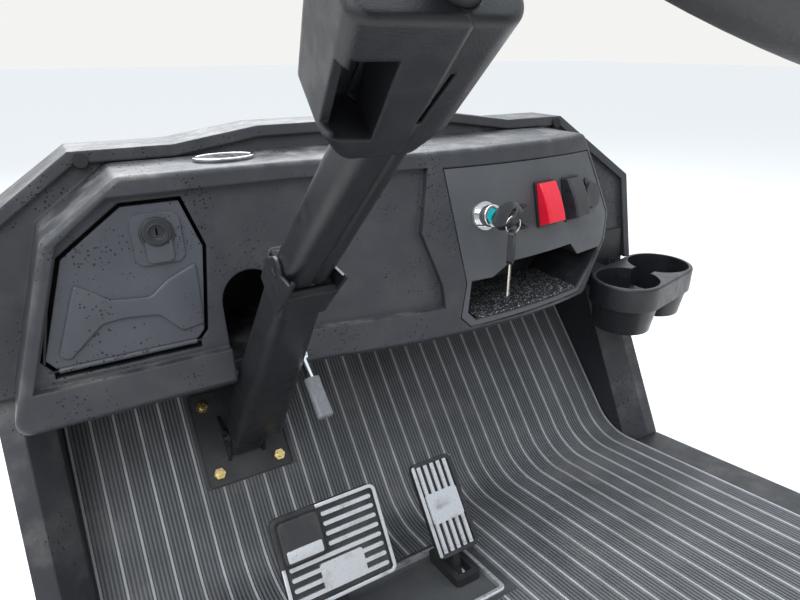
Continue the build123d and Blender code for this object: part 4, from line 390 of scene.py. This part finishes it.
def rubber_material(name, colour, mud=0.3, rough=0.62):
    """Rubber with dust in its grain and patches of dried mud where it faces up."""
    material, tree, shader = fresh_material(name)
    finish = bpy.context.scene.cockpit_finish
    blotch = spread(tree, noise(tree, 9.0, 5.0), 0.3, 0.72)
    base = mixed(tree, blotch, shade(colour, 0.8), shade(colour, 1.25))
    patches = spread(tree, noise(tree, 5.5, 8.0, 0.68), 0.5, 0.72)
    streaks = spread(tree, noise(tree, 30.0, 6.0, 0.7, (1, 0.25, 0.25)), 0.45, 0.75)
    dirt = combine(tree, "MAXIMUM", patches, combine(tree, "MULTIPLY", streaks, 0.5))
    dirt = combine(tree, "MULTIPLY", combine(tree, "MULTIPLY", dirt, mud), facing_up(tree))
    base = mixed(tree, dirt, base, finish.mud)
    uneven = spread(tree, blotch, 0, 1, rough - 0.08, rough + 0.08)
    normal = relief(tree, noise(tree, 700.0, 2.0), 0.0002, soft_edges(tree, 0.0008))
    surface(tree, shader, base, uneven, normal)
    return material


def metal_material(name, colour, rough=0.3, scratch=0.0001, grime=0.2, metallic=1.0):
    """Bare, plated or satin metal with fine scratches and a little grime."""
    material, tree, shader = fresh_material(name)
    shader.inputs["Metallic"].default_value = metallic
    marks = noise(tree, 260.0, 5.0, 0.6)
    stain = combine(tree, "MULTIPLY", spread(tree, noise(tree, 35.0, 6.0), 0.5, 0.8), grime)
    base = mixed(tree, stain, colour, shade(colour, 0.25))
    uneven = spread(tree, marks, 0.3, 0.7, rough * 0.7, rough * 1.35)
    normal = relief(tree, marks, scratch, soft_edges(tree, 0.0008))
    surface(tree, shader, base, uneven, normal)
    return material


def coated_steel_material(name, colour, rough=0.42):
    """Powder-coated steel with orange peel and dust."""
    material, tree, shader = fresh_material(name)
    finish = bpy.context.scene.cockpit_finish
    peel = noise(tree, 420.0, 2.0)
    dirt = combine(tree, "MULTIPLY", spread(tree, noise(tree, 14.0, 7.0, 0.65), 0.48, 0.75), 0.12)
    base = mixed(tree, dirt, mixed(tree, peel, shade(colour, 0.9), shade(colour, 1.1)), finish.mud)
    uneven = spread(tree, dirt, 0, 0.3, rough, rough + 0.25)
    normal = relief(tree, peel, 0.00015, soft_edges(tree, 0.0012))
    surface(tree, shader, base, uneven, normal)
    return material


def gloss_material(name, colour, rough=0.22, glow=0.0):
    """Glossy moulded plastic with faint handling marks."""
    material, tree, shader = fresh_material(name)
    smear = noise(tree, 90.0, 5.0, 0.6)
    base = mixed(tree, smear, shade(colour, 0.88), shade(colour, 1.1))
    uneven = spread(tree, smear, 0.3, 0.75, rough * 0.75, rough * 1.5)
    normal = relief(tree, smear, 0.00005, soft_edges(tree, 0.0012))
    surface(tree, shader, base, uneven, normal)
    if glow:
        shader.inputs["Emission Color"].default_value = (*colour, 1)
        shader.inputs["Emission Strength"].default_value = glow
    return material


def liner_material(name):
    """Black rubber liner with pale specks."""
    material, tree, shader = fresh_material(name)
    distance, colour = cells(tree, 380.0)
    some = spread(tree, red_of(tree, colour), 0.55, 0.6)
    fleck = combine(tree, "MULTIPLY", some, spread(tree, distance, 0.42, 0.3))
    base = mixed(tree, fleck, (0.014, 0.015, 0.017), (0.5, 0.51, 0.52))
    uneven = spread(tree, noise(tree, 60.0), 0.3, 0.7, 0.5, 0.7)
    normal = relief(tree, noise(tree, 500.0, 2.0), 0.0002, soft_edges(tree, 0.001))
    surface(tree, shader, base, uneven, normal)
    return material


def dress(names, material):
    """Gives CAD nodes a finish."""
    for name in names:
        slots = NODES[name].data.materials
        if not len(slots):
            slots.append(material)
        for index in range(len(slots)):
            slots[index] = material


# Meshes


def keep(mesh, name, material, body, smooth=False):
    """Turns a finished bmesh into a piece that rides on a body."""
    data = bpy.data.meshes.new(name)
    bmesh.ops.recalc_face_normals(mesh, faces=mesh.faces)
    mesh.to_mesh(data)
    mesh.free()
    piece = bpy.data.objects.new(name, data)
    bpy.context.scene.collection.objects.link(piece)
    data.materials.append(material)
    if smooth:
        for polygon in data.polygons:
            polygon.use_smooth = True
    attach(piece, body)


def facing(origin, across, up):
    """Matrix from a flat pattern's coordinates to its place, with Z out of the surface."""
    across = across.normalized()
    out = across.cross(up).normalized()
    matrix = Matrix((across, out.cross(across), out)).transposed().to_4x4()
    matrix.translation = origin
    return matrix


def face_at(x, z, sunk=0.0):
    """Matrix onto the leaning, bowed dash face, or onto a surface sunk behind it."""
    if x <= BOW_START:
        y, across = FACE_Y, ACROSS
    else:
        drop = math.sqrt(BOW_RADIUS**2 - (x - BOW_CENTRE.x) ** 2)
        y = BOW_CENTRE.y - drop
        across = Vector((drop, x - BOW_CENTRE.x, 0))
    y += (z - DASH_BOTTOM) * math.tan(DASH_LEAN)
    matrix = facing(Vector((x, y, z)), across, LEAN_UP)
    matrix.translation -= matrix.col[2].to_3d() * sunk
    return matrix


def items_of(made, kind):
    """The vertices or faces among what an operator made."""
    return [item for item in made if isinstance(item, kind)]


def outline_face(mesh, points, corner, steps=5):
    """A flat face through points, with its corners rounded."""
    face = mesh.faces.new([mesh.verts.new((x, y, 0)) for x, y in points])
    bmesh.ops.bevel(
        mesh, geom=list(face.verts), offset=corner, segments=steps, profile=0.5, affect="VERTICES",
        material=-1,
    )
    mesh.faces.ensure_lookup_table()
    return mesh.faces[-1]


def box_points(width, height, x=0.0, y=0.0):
    """Corners of a rectangle about a middle."""
    return [
        (x + across * width / 2, y + up * height / 2) for across, up in ((-1, -1), (1, -1), (1, 1), (-1, 1))
    ]


def raised(mesh, faces, height, edge, steps=3):
    """Extrudes flat faces out of a surface and rounds the edges of their tops."""
    grown = bmesh.ops.extrude_face_region(mesh, geom=faces)["geom"]
    tops = items_of(grown, bmesh.types.BMFace)
    bmesh.ops.translate(mesh, verts=items_of(grown, bmesh.types.BMVert), vec=(0, 0, height))
    rims = [rim for rim in mesh.edges if sum(face in tops for face in rim.link_faces) == 1]
    bmesh.ops.bevel(mesh, geom=rims, offset=edge, segments=steps, profile=0.5, affect="EDGES", material=-1)


def plate(mesh, points, corner, height, edge, corner_steps=5, edge_steps=3):
    """A raised plate through points."""
    raised(mesh, [outline_face(mesh, points, corner, corner_steps)], height, edge, edge_steps)


def ring(mesh, outer, inner, height, edge, sides=48, stretch=1.0):
    """A raised round or oval ring."""
    bmesh.ops.create_circle(mesh, cap_ends=True, segments=sides, radius=outer)
    middle = mesh.faces[:][-1]
    bmesh.ops.inset_individual(mesh, faces=[middle], thickness=outer - inner)
    bmesh.ops.delete(mesh, geom=[middle], context="FACES_ONLY")
    bmesh.ops.scale(mesh, verts=mesh.verts, vec=(1, stretch, 1))
    raised(mesh, mesh.faces[:], height, edge)


def laid(matrix, build, *sizes):
    """A piece that a function builds flat, laid onto the part."""
    mesh = bmesh.new()
    build(mesh, *sizes)
    bmesh.ops.translate(mesh, verts=mesh.verts, vec=(0, 0, -SINK))
    bmesh.ops.transform(mesh, matrix=matrix, verts=mesh.verts)
    return mesh


def joined(meshes):
    """One mesh of several."""
    whole = bmesh.new()
    for mesh in meshes:
        part = bpy.data.meshes.new("part")
        mesh.to_mesh(part)
        mesh.free()
        whole.from_mesh(part)
        bpy.data.meshes.remove(part)
    return whole


def brake_border(mesh, width, length):
    """The bright frame round the brake pad, open at the parking pad's corner."""
    outline = outline_face(mesh, box_points(width - BRAKE_MARGIN, length - BRAKE_MARGIN), BRAKE_CORNER)
    bmesh.ops.inset_individual(mesh, faces=[outline], thickness=BRAKE_BAND)
    bmesh.ops.delete(mesh, geom=[outline], context="FACES_ONLY")
    for point, normal in (((PARK_SIDE, 0, 0), (1, 0, 0)), ((0, PARK_FOOT, 0), (0, 1, 0))):
        bmesh.ops.bisect_plane(
            mesh, geom=[*mesh.verts, *mesh.edges, *mesh.faces], plane_co=point, plane_no=normal,
        )
    corner = []
    for face in mesh.faces:
        middle = face.calc_center_median()
        if middle.x < PARK_SIDE and middle.y > PARK_FOOT:
            corner.append(face)
    bmesh.ops.delete(mesh, geom=corner, context="FACES")
    raised(mesh, mesh.faces[:], TRIM_HEIGHT, TRIM_EDGE)


def park_plate(mesh):
    """The small bare plate along the foot of the parking pad."""
    plate(mesh, box_points(**PARK_PLATE), PARK_PLATE_CORNER, PARK_PLATE_HEIGHT, PLATE_EDGE)


def go_border(mesh, width, length):
    """The bright bars along the second pad and the bare plate over them."""
    for side in (-1, 1):
        bar = box_points(SIDE_BAR_WIDTH, length - SIDE_BAR_MARGIN, side * (width / 2 - SIDE_BAR_IN))
        plate(mesh, bar, SIDE_BAR_CORNER, TRIM_HEIGHT, TRIM_EDGE)
    for column in range(-BARS_EACH_SIDE, BARS_EACH_SIDE + 1):
        bar = box_points(BAR_WIDTH, length - BAR_MARGIN, column * BAR_PITCH)
        plate(mesh, bar, BAR_CORNER, TRIM_HEIGHT, TRIM_EDGE)
    plate(mesh, box_points(**GO_PLATE), GO_PLATE_CORNER, GO_PLATE_HEIGHT, PLATE_EDGE)


def onward(mesh, face, along):
    """Extrudes a rib's end face further along the mat and returns its new end."""
    grown = bmesh.ops.extrude_face_region(mesh, geom=[face])["geom"]
    bmesh.ops.translate(mesh, verts=items_of(grown, bmesh.types.BMVert), vec=along)
    return items_of(grown, bmesh.types.BMFace)[0]


def mat_strip(mesh, x, width, height, start, end):
    """One rib on the mat's top from one Y to another, round the bend where it crosses it."""
    floor_start = BEND_START + FLOOR_UP * MAT_THICK
    toe_start = BEND_CENTRE + Matrix.Rotation(BEND_TURN, 3, "X") @ (floor_start - BEND_CENTRE)
    on_toe = start > toe_start.y
    ahead = TOE_AHEAD if on_toe else FLOOR_AHEAD
    foot = toe_start if on_toe else floor_start
    here = foot + ahead * (start - foot.y) / ahead.y
    up = ACROSS.cross(ahead)
    half = width / 2
    top = half - RIB_CHAMFER
    corners = []
    for across, rise in ((-half, -RIB_SINK), (half, -RIB_SINK), (top, height), (-top, height)):
        corners.append(mesh.verts.new(here + ACROSS * (x + across) + up * rise))
    face = mesh.faces.new(corners)
    if on_toe or end < floor_start.y:
        onward(mesh, face, ahead * (end - start) / ahead.y)
        return
    face = onward(mesh, face, ahead * (floor_start.y - start) / ahead.y)
    turned = bmesh.ops.spin(
        mesh, geom=[face, *face.edges, *face.verts], cent=BEND_CENTRE, axis=ACROSS, angle=BEND_TURN,
        steps=RIB_BEND_STEPS,
    )["geom_last"]
    face = items_of(turned, bmesh.types.BMFace)[0]
    onward(mesh, face, TOE_AHEAD * (end - toe_start.y) / TOE_AHEAD.y)


def mat_runs(x, half):
    """Where a rib at a place across the mat starts and ends, clear of the two openings."""
    runs = []
    start = MAT_REAR
    for gap in (OPENING, CUTOUT):
        if gap["left"] - half < x < gap["right"] + half:
            runs.append((start, gap["rear"]))
            start = gap["front"]
    runs.append((start, MAT_FRONT))
    return runs


class COCKPIT_OT_mouldings(bpy.types.Operator):
    """Finishes the dash, cowls and sills, with the door's relief and the trim of its lock and the badge"""

    bl_idname = "cockpit.mouldings"
    bl_label = "Mouldings"

    def execute(self, context):
        finish = context.scene.cockpit_finish
        # The dash's heavy dust on top faces is also a painted sheen of the sky on its shelf
        dash = moulding_material("dash_moulding", finish.moulding, 0.40, drops=0.42, dust_and_sheen=0.5, edge=0.004)
        door = moulding_material(
            "door_moulding", shade(finish.moulding, 1.9), 0.42, drops=0.42, dust_and_sheen=0.2, edge=0.0025,
        )
        cup = moulding_material(
            "cup_moulding", shade(finish.moulding, 0.42), 0.34, grain=0.00009, drops=0.3, dust_and_sheen=0.1,
        )
        panel = moulding_material("panel_moulding", finish.panel, 0.42, grain=0.00008, dust_and_sheen=0.15)
        black = moulding_material("black_moulding", (0.016, 0.017, 0.02), 0.4, grain=0.00008, dust_and_sheen=0.15)
        dress(("dash_panel", "side_cowl_left", "side_cowl_right", "bulkhead"), dash)
        dress(("cup_holder",), cup)
        dress(("glove_door",), door)
        dress(("switch_panel",), panel)
        dress(("glove_bin", "glove_lock", "cubby_bin", "sill_left", "sill_right"), black)
        dress(("power_socket", "rocker_bezels", "key_heads"), black)
        # Rim plugs of black rubber; the steel hinge pin gets the same near-black as painted shade, so that it
        # reads as the dark gap below the door
        plug_and_pin_shade = rubber_material("plug_rubber_and_pin_shade", (0.004, 0.004, 0.005), 0.05, 0.7)
        dress(("rim_plugs", "glove_door_pin"), plug_and_pin_shade)
        dress(("shelf_badge",), gloss_material("badge_grey", (0.05, 0.05, 0.055), 0.25))
        dress(("cubby_liner",), liner_material("liner_rubber"))

        at = BELT_MIDDLE
        belt = [(x * MM - at.x, (z * MM - at.y) / math.cos(DASH_LEAN)) for x, z in DOOR_BELT]
        field = face_at(at.x, at.y, FIELD_DEPTH)
        stamped = laid(field, plate, belt, BELT_CORNER, BELT_HEIGHT, BELT_EDGE, 4, 4)
        keep(stamped, "door_relief", door, "glove_lid", True)

        lock_pad = face_at(*LOCK_AT, FIELD_DEPTH - LOCK_PAD_PROUD)
        guard = laid(lock_pad, plate, box_points(**GUARD), GUARD_CORNER, GUARD_HEIGHT, GUARD_EDGE)
        keep(guard, "lock_guard", door, "glove_lid")
        collar_front = face_at(*LOCK_AT, FIELD_DEPTH - COLLAR_PROUD)
        rims = [laid(lock_pad, ring, *COLLAR_RING), laid(collar_front, ring, *BARREL_RING)]
        keep(joined(rims), "lock_rings", black, "glove_lid", True)

        shelf = facing(Vector((*BADGE_AT, SHELF_TOP)), ACROSS, AHEAD)
        oval = laid(shelf, ring, *BADGE_RING, BADGE_SIDES, BADGE_OVAL)
        bright = metal_material("badge_chrome", (0.75, 0.76, 0.78), 0.12)
        keep(oval, "badge_ring", bright, "frame", True)
        return {"FINISHED"}


class COCKPIT_OT_controls(bpy.types.Operator):
    """Finishes the switches, lamp and keys, with the lamp's nut and the rings on the socket's cap"""

    bl_idname = "cockpit.controls"
    bl_label = "Controls"

    def execute(self, context):
        chrome = metal_material("chrome_plate", (0.78, 0.79, 0.8), 0.08, scratch=0.00002, grime=0.05)
        grey = gloss_material("grey_rocker", (0.022, 0.023, 0.027), 0.3)
        dress(("lamp_bezel", "tilt_lever"), chrome)
        dress(("lamp_lens",), gloss_material("teal_lens", (0.01, 0.42, 0.46), 0.12, glow=0.25))
        dress(("rocker_red",), gloss_material("red_rocker", (0.72, 0.012, 0.035), 0.2))
        dress(("rocker_grey", "key_switch"), grey)
        dress(("key_blades",), metal_material("key_metal", (0.62, 0.58, 0.5), 0.28))

        nut = laid(face_at(*LAMP_AT), ring, *LAMP_RING, LAMP_SIDES)
        keep(nut, "lamp_nut", chrome, "frame", True)

        cap_face = face_at(*SOCKET_AT, -CAP_TOP)
        rings = [laid(cap_face, ring, *sizes) for sizes in CAP_RINGS]
        cap = moulding_material("cap_moulding", (0.03, 0.031, 0.035), 0.4)
        keep(joined(rings), "cap_rings", cap, "frame", True)
        return {"FINISHED"}


class COCKPIT_OT_column(bpy.types.Operator):
    """Finishes the column, its covers and the wheel"""

    bl_idname = "cockpit.column"
    bl_label = "Column and wheel"

    def execute(self, context):
        finish = context.scene.cockpit_finish
        cover = moulding_material(
            "column_moulding", finish.column, 0.36, grain=0.00009, dust_and_sheen=0.08, edge=0.003,
        )
        dress(("column_shroud", "column_collar", "column_sleeve", "housing_upper", "housing_lower"), cover)
        grip = rubber_material("wheel_grip", (0.028, 0.029, 0.031), 0.1, 0.5)
        dress(("steering_wheel", "wheel_cap"), grip)
        dress(("tilt_grip",), gloss_material("lever_grey", (0.16, 0.165, 0.175), 0.25))
        coat = coated_steel_material("black_coat", (0.02, 0.021, 0.023))
        dress(("column_bracket", "column_jacket", "column_tube"), coat)
        dress(("bracket_bolts",), metal_material("yellow_zinc", (0.78, 0.6, 0.26), 0.26, grime=0.45))
        dress(("steering_shaft", "lower_shaft"), metal_material("machined_steel", (0.5, 0.5, 0.52), 0.3))
        return {"FINISHED"}


class COCKPIT_OT_floor(bpy.types.Operator):
    """Finishes the floor pan, mat and pedals, with the mat's ribs and the pads' borders"""

    bl_idname = "cockpit.floor"
    bl_label = "Floor and pedals"

    def execute(self, context):
        finish = context.scene.cockpit_finish
        sizes = context.scene.cockpit_sizes
        silver = metal_material("satin_silver", finish.silver, 0.36, scratch=0.00015, grime=0.7, metallic=0.6)
        pedal = rubber_material("pedal_rubber", (0.02, 0.02, 0.022), 0.35)
        # The mat below the ribs is a darker copy of the ribs' rubber: painted shade in the grooves between
        # the ribs
        dress(("floor_mat",), rubber_material("mat_rubber", shade(finish.mat, 0.35), 0.3))
        dress(("brake_pad", "go_pad", "park_pad", "pedal_boots"), pedal)
        dress(("brake_ribs", "go_ribs", "pedal_trim"), silver)
        coat = coated_steel_material("frame_coat", (0.024, 0.025, 0.027))
        dress(("chassis_rails", "cross_member_front", "cross_member_rear", "front_hoop"), coat)
        dress(("pedal_bracket", "brake_arm", "go_arm"), coat)
        dress(("floor_pan",), coated_steel_material("pan_coat", (0.07, 0.072, 0.075)))

        bands = bmesh.new()
        ribs = bmesh.new()
        count = int(MAT_HALF / sizes.band_pitch)
        pitch = (sizes.band_pitch - sizes.band_width) / sizes.fine_ribs
        for row in range(-count, count + 1):
            middle = row * sizes.band_pitch
            for start, end in mat_runs(middle, sizes.band_width / 2):
                mat_strip(bands, middle, sizes.band_width, sizes.rib_height, start, end)
            for step in range(sizes.fine_ribs):
                x = middle + sizes.band_width / 2 + pitch * (step + 0.5)
                if x > MAT_HALF:
                    continue
                for start, end in mat_runs(x, pitch / 2):
                    mat_strip(ribs, x, pitch * FINE_WIDTH, sizes.rib_height * FINE_HEIGHT, start, end)
        # The bands' light colour is a painted sheen of the sky; the mud on them is dirt
        keep(bands, "mat_bands", rubber_material("band_sheen_rubber", finish.band_with_sheen, 0.5), "frame")
        keep(ribs, "mat_ribs", rubber_material("rib_rubber", finish.mat, 0.4), "frame")

        for body, x, bottom, top, width in PADS:
            low = Vector((x, *bottom)) * MM
            high = Vector((x, *top)) * MM
            matrix = facing((low + high) / 2, ACROSS, high - low)
            border = brake_border if body == "brake" else go_border
            bright = laid(matrix, border, width * MM, (high - low).length)
            keep(bright, body + "_border", silver, body, True)
            if body == "brake":
                matrix.translation += matrix.col[2].to_3d() * PARK_PROUD
                keep(laid(matrix, park_plate), "park_plate", silver, body, True)
        return {"FINISHED"}


class COCKPIT_OT_stage(bpy.types.Operator):
    """Sets the pale floor, soft light and the camera at the photograph's view"""

    bl_idname = "cockpit.stage"
    bl_label = "Stage"

    def execute(self, context):
        scene = context.scene
        floor_mesh = bmesh.new()
        bmesh.ops.create_grid(floor_mesh, x_segments=1, y_segments=1, size=FLOOR_REACH)
        bmesh.ops.translate(floor_mesh, verts=floor_mesh.verts, vec=(0, 0, CAD_BOX[0][2] - FLOOR_BELOW))
        data = bpy.data.meshes.new("stage_floor")
        floor_mesh.to_mesh(data)
        floor_mesh.free()
        floor = bpy.data.objects.new("stage_floor", data)
        scene.collection.objects.link(floor)
        material, tree, shader = fresh_material("stage_pale")
        shader.inputs["Base Color"].default_value = (0.78, 0.77, 0.75, 1)
        shader.inputs["Roughness"].default_value = 0.9
        data.materials.append(material)

        # The camera sees a plain pale world, and a dome of soft light falls on the part
        world = bpy.data.worlds.new("studio")
        scene.world = world
        world.use_nodes = True
        tree = world.node_tree
        tree.nodes.clear()
        output = tree.nodes.new("ShaderNodeOutputWorld")
        dome = tree.nodes.new("ShaderNodeBackground")
        seen = tree.nodes.new("ShaderNodeBackground")
        choose = tree.nodes.new("ShaderNodeMixShader")
        path = tree.nodes.new("ShaderNodeLightPath")
        coordinates = tree.nodes.new("ShaderNodeTexCoord")
        split = tree.nodes.new("ShaderNodeSeparateXYZ")
        tree.links.new(coordinates.outputs["Generated"], split.inputs["Vector"])
        height = spread(tree, split.outputs["Z"], -0.1, 0.7)
        colour = mixed(tree, height, (0.62, 0.6, 0.57), (0.86, 0.93, 1.0))
        tree.links.new(colour, dome.inputs["Color"])
        ahead = spread(tree, split.outputs["Y"], -0.9, 0.8, 0.95, 1.5)
        tree.links.new(ahead, dome.inputs["Strength"])
        seen.inputs["Color"].default_value = (0.9, 0.9, 0.89, 1)
        tree.links.new(path.outputs["Is Camera Ray"], choose.inputs["Fac"])
        tree.links.new(dome.outputs["Background"], choose.inputs[1])
        tree.links.new(seen.outputs["Background"], choose.inputs[2])
        tree.links.new(choose.outputs["Shader"], output.inputs["Surface"])

        for name, at, aim, power, size in LAMPS:
            lamp = bpy.data.lights.new(name, "AREA")
            lamp.energy = power
            lamp.size = size
            lamp.color = LAMP_COLOUR
            holder = bpy.data.objects.new(name, lamp)
            holder.location = at
            holder.rotation_euler = (Vector(aim) - Vector(at)).to_track_quat("-Z", "Y").to_euler()
            scene.collection.objects.link(holder)

        eye = bpy.data.cameras.new("photo_camera")
        eye.lens = CAMERA_LENS
        eye.clip_start = CAMERA_NEAR
        camera = bpy.data.objects.new("photo_camera", eye)
        camera.location = CAMERA_AT
        camera.rotation_euler = CAMERA_TURN
        scene.collection.objects.link(camera)
        scene.camera = camera
        scene.view_settings.view_transform = "Standard"
        return {"FINISHED"}


class COCKPIT_PT_panel(bpy.types.Panel):
    """Lists the steps that build the looks"""

    bl_idname = "COCKPIT_PT_panel"
    bl_label = "Cockpit section"
    bl_space_type = "VIEW_3D"
    bl_region_type = "UI"
    bl_category = "Cockpit"

    def draw(self, context):
        for group in (context.scene.cockpit_finish, context.scene.cockpit_sizes):
            for name in group.__annotations__:
                self.layout.prop(group, name)
        for step in STEPS:
            self.layout.operator(step.bl_idname)


STEPS = (
    COCKPIT_OT_mouldings,
    COCKPIT_OT_controls,
    COCKPIT_OT_column,
    COCKPIT_OT_floor,
    COCKPIT_OT_stage,
)
CLASSES = (CockpitFinish, CockpitSizes, *STEPS, COCKPIT_PT_panel)


def register():
    """Registers the classes and their settings."""
    for cls in CLASSES:
        bpy.utils.register_class(cls)
    bpy.types.Scene.cockpit_finish = PointerProperty(type=CockpitFinish)
    bpy.types.Scene.cockpit_sizes = PointerProperty(type=CockpitSizes)


def unregister():
    """Removes the classes and their settings."""
    del bpy.types.Scene.cockpit_sizes
    del bpy.types.Scene.cockpit_finish
    for cls in reversed(CLASSES):
        bpy.utils.unregister_class(cls)


def main():
    """Runs each step in order."""
    register()
    for step in STEPS:
        group, name = step.bl_idname.split(".")
        getattr(getattr(bpy.ops, group), name)()


if __name__ == "__main__":
    main()
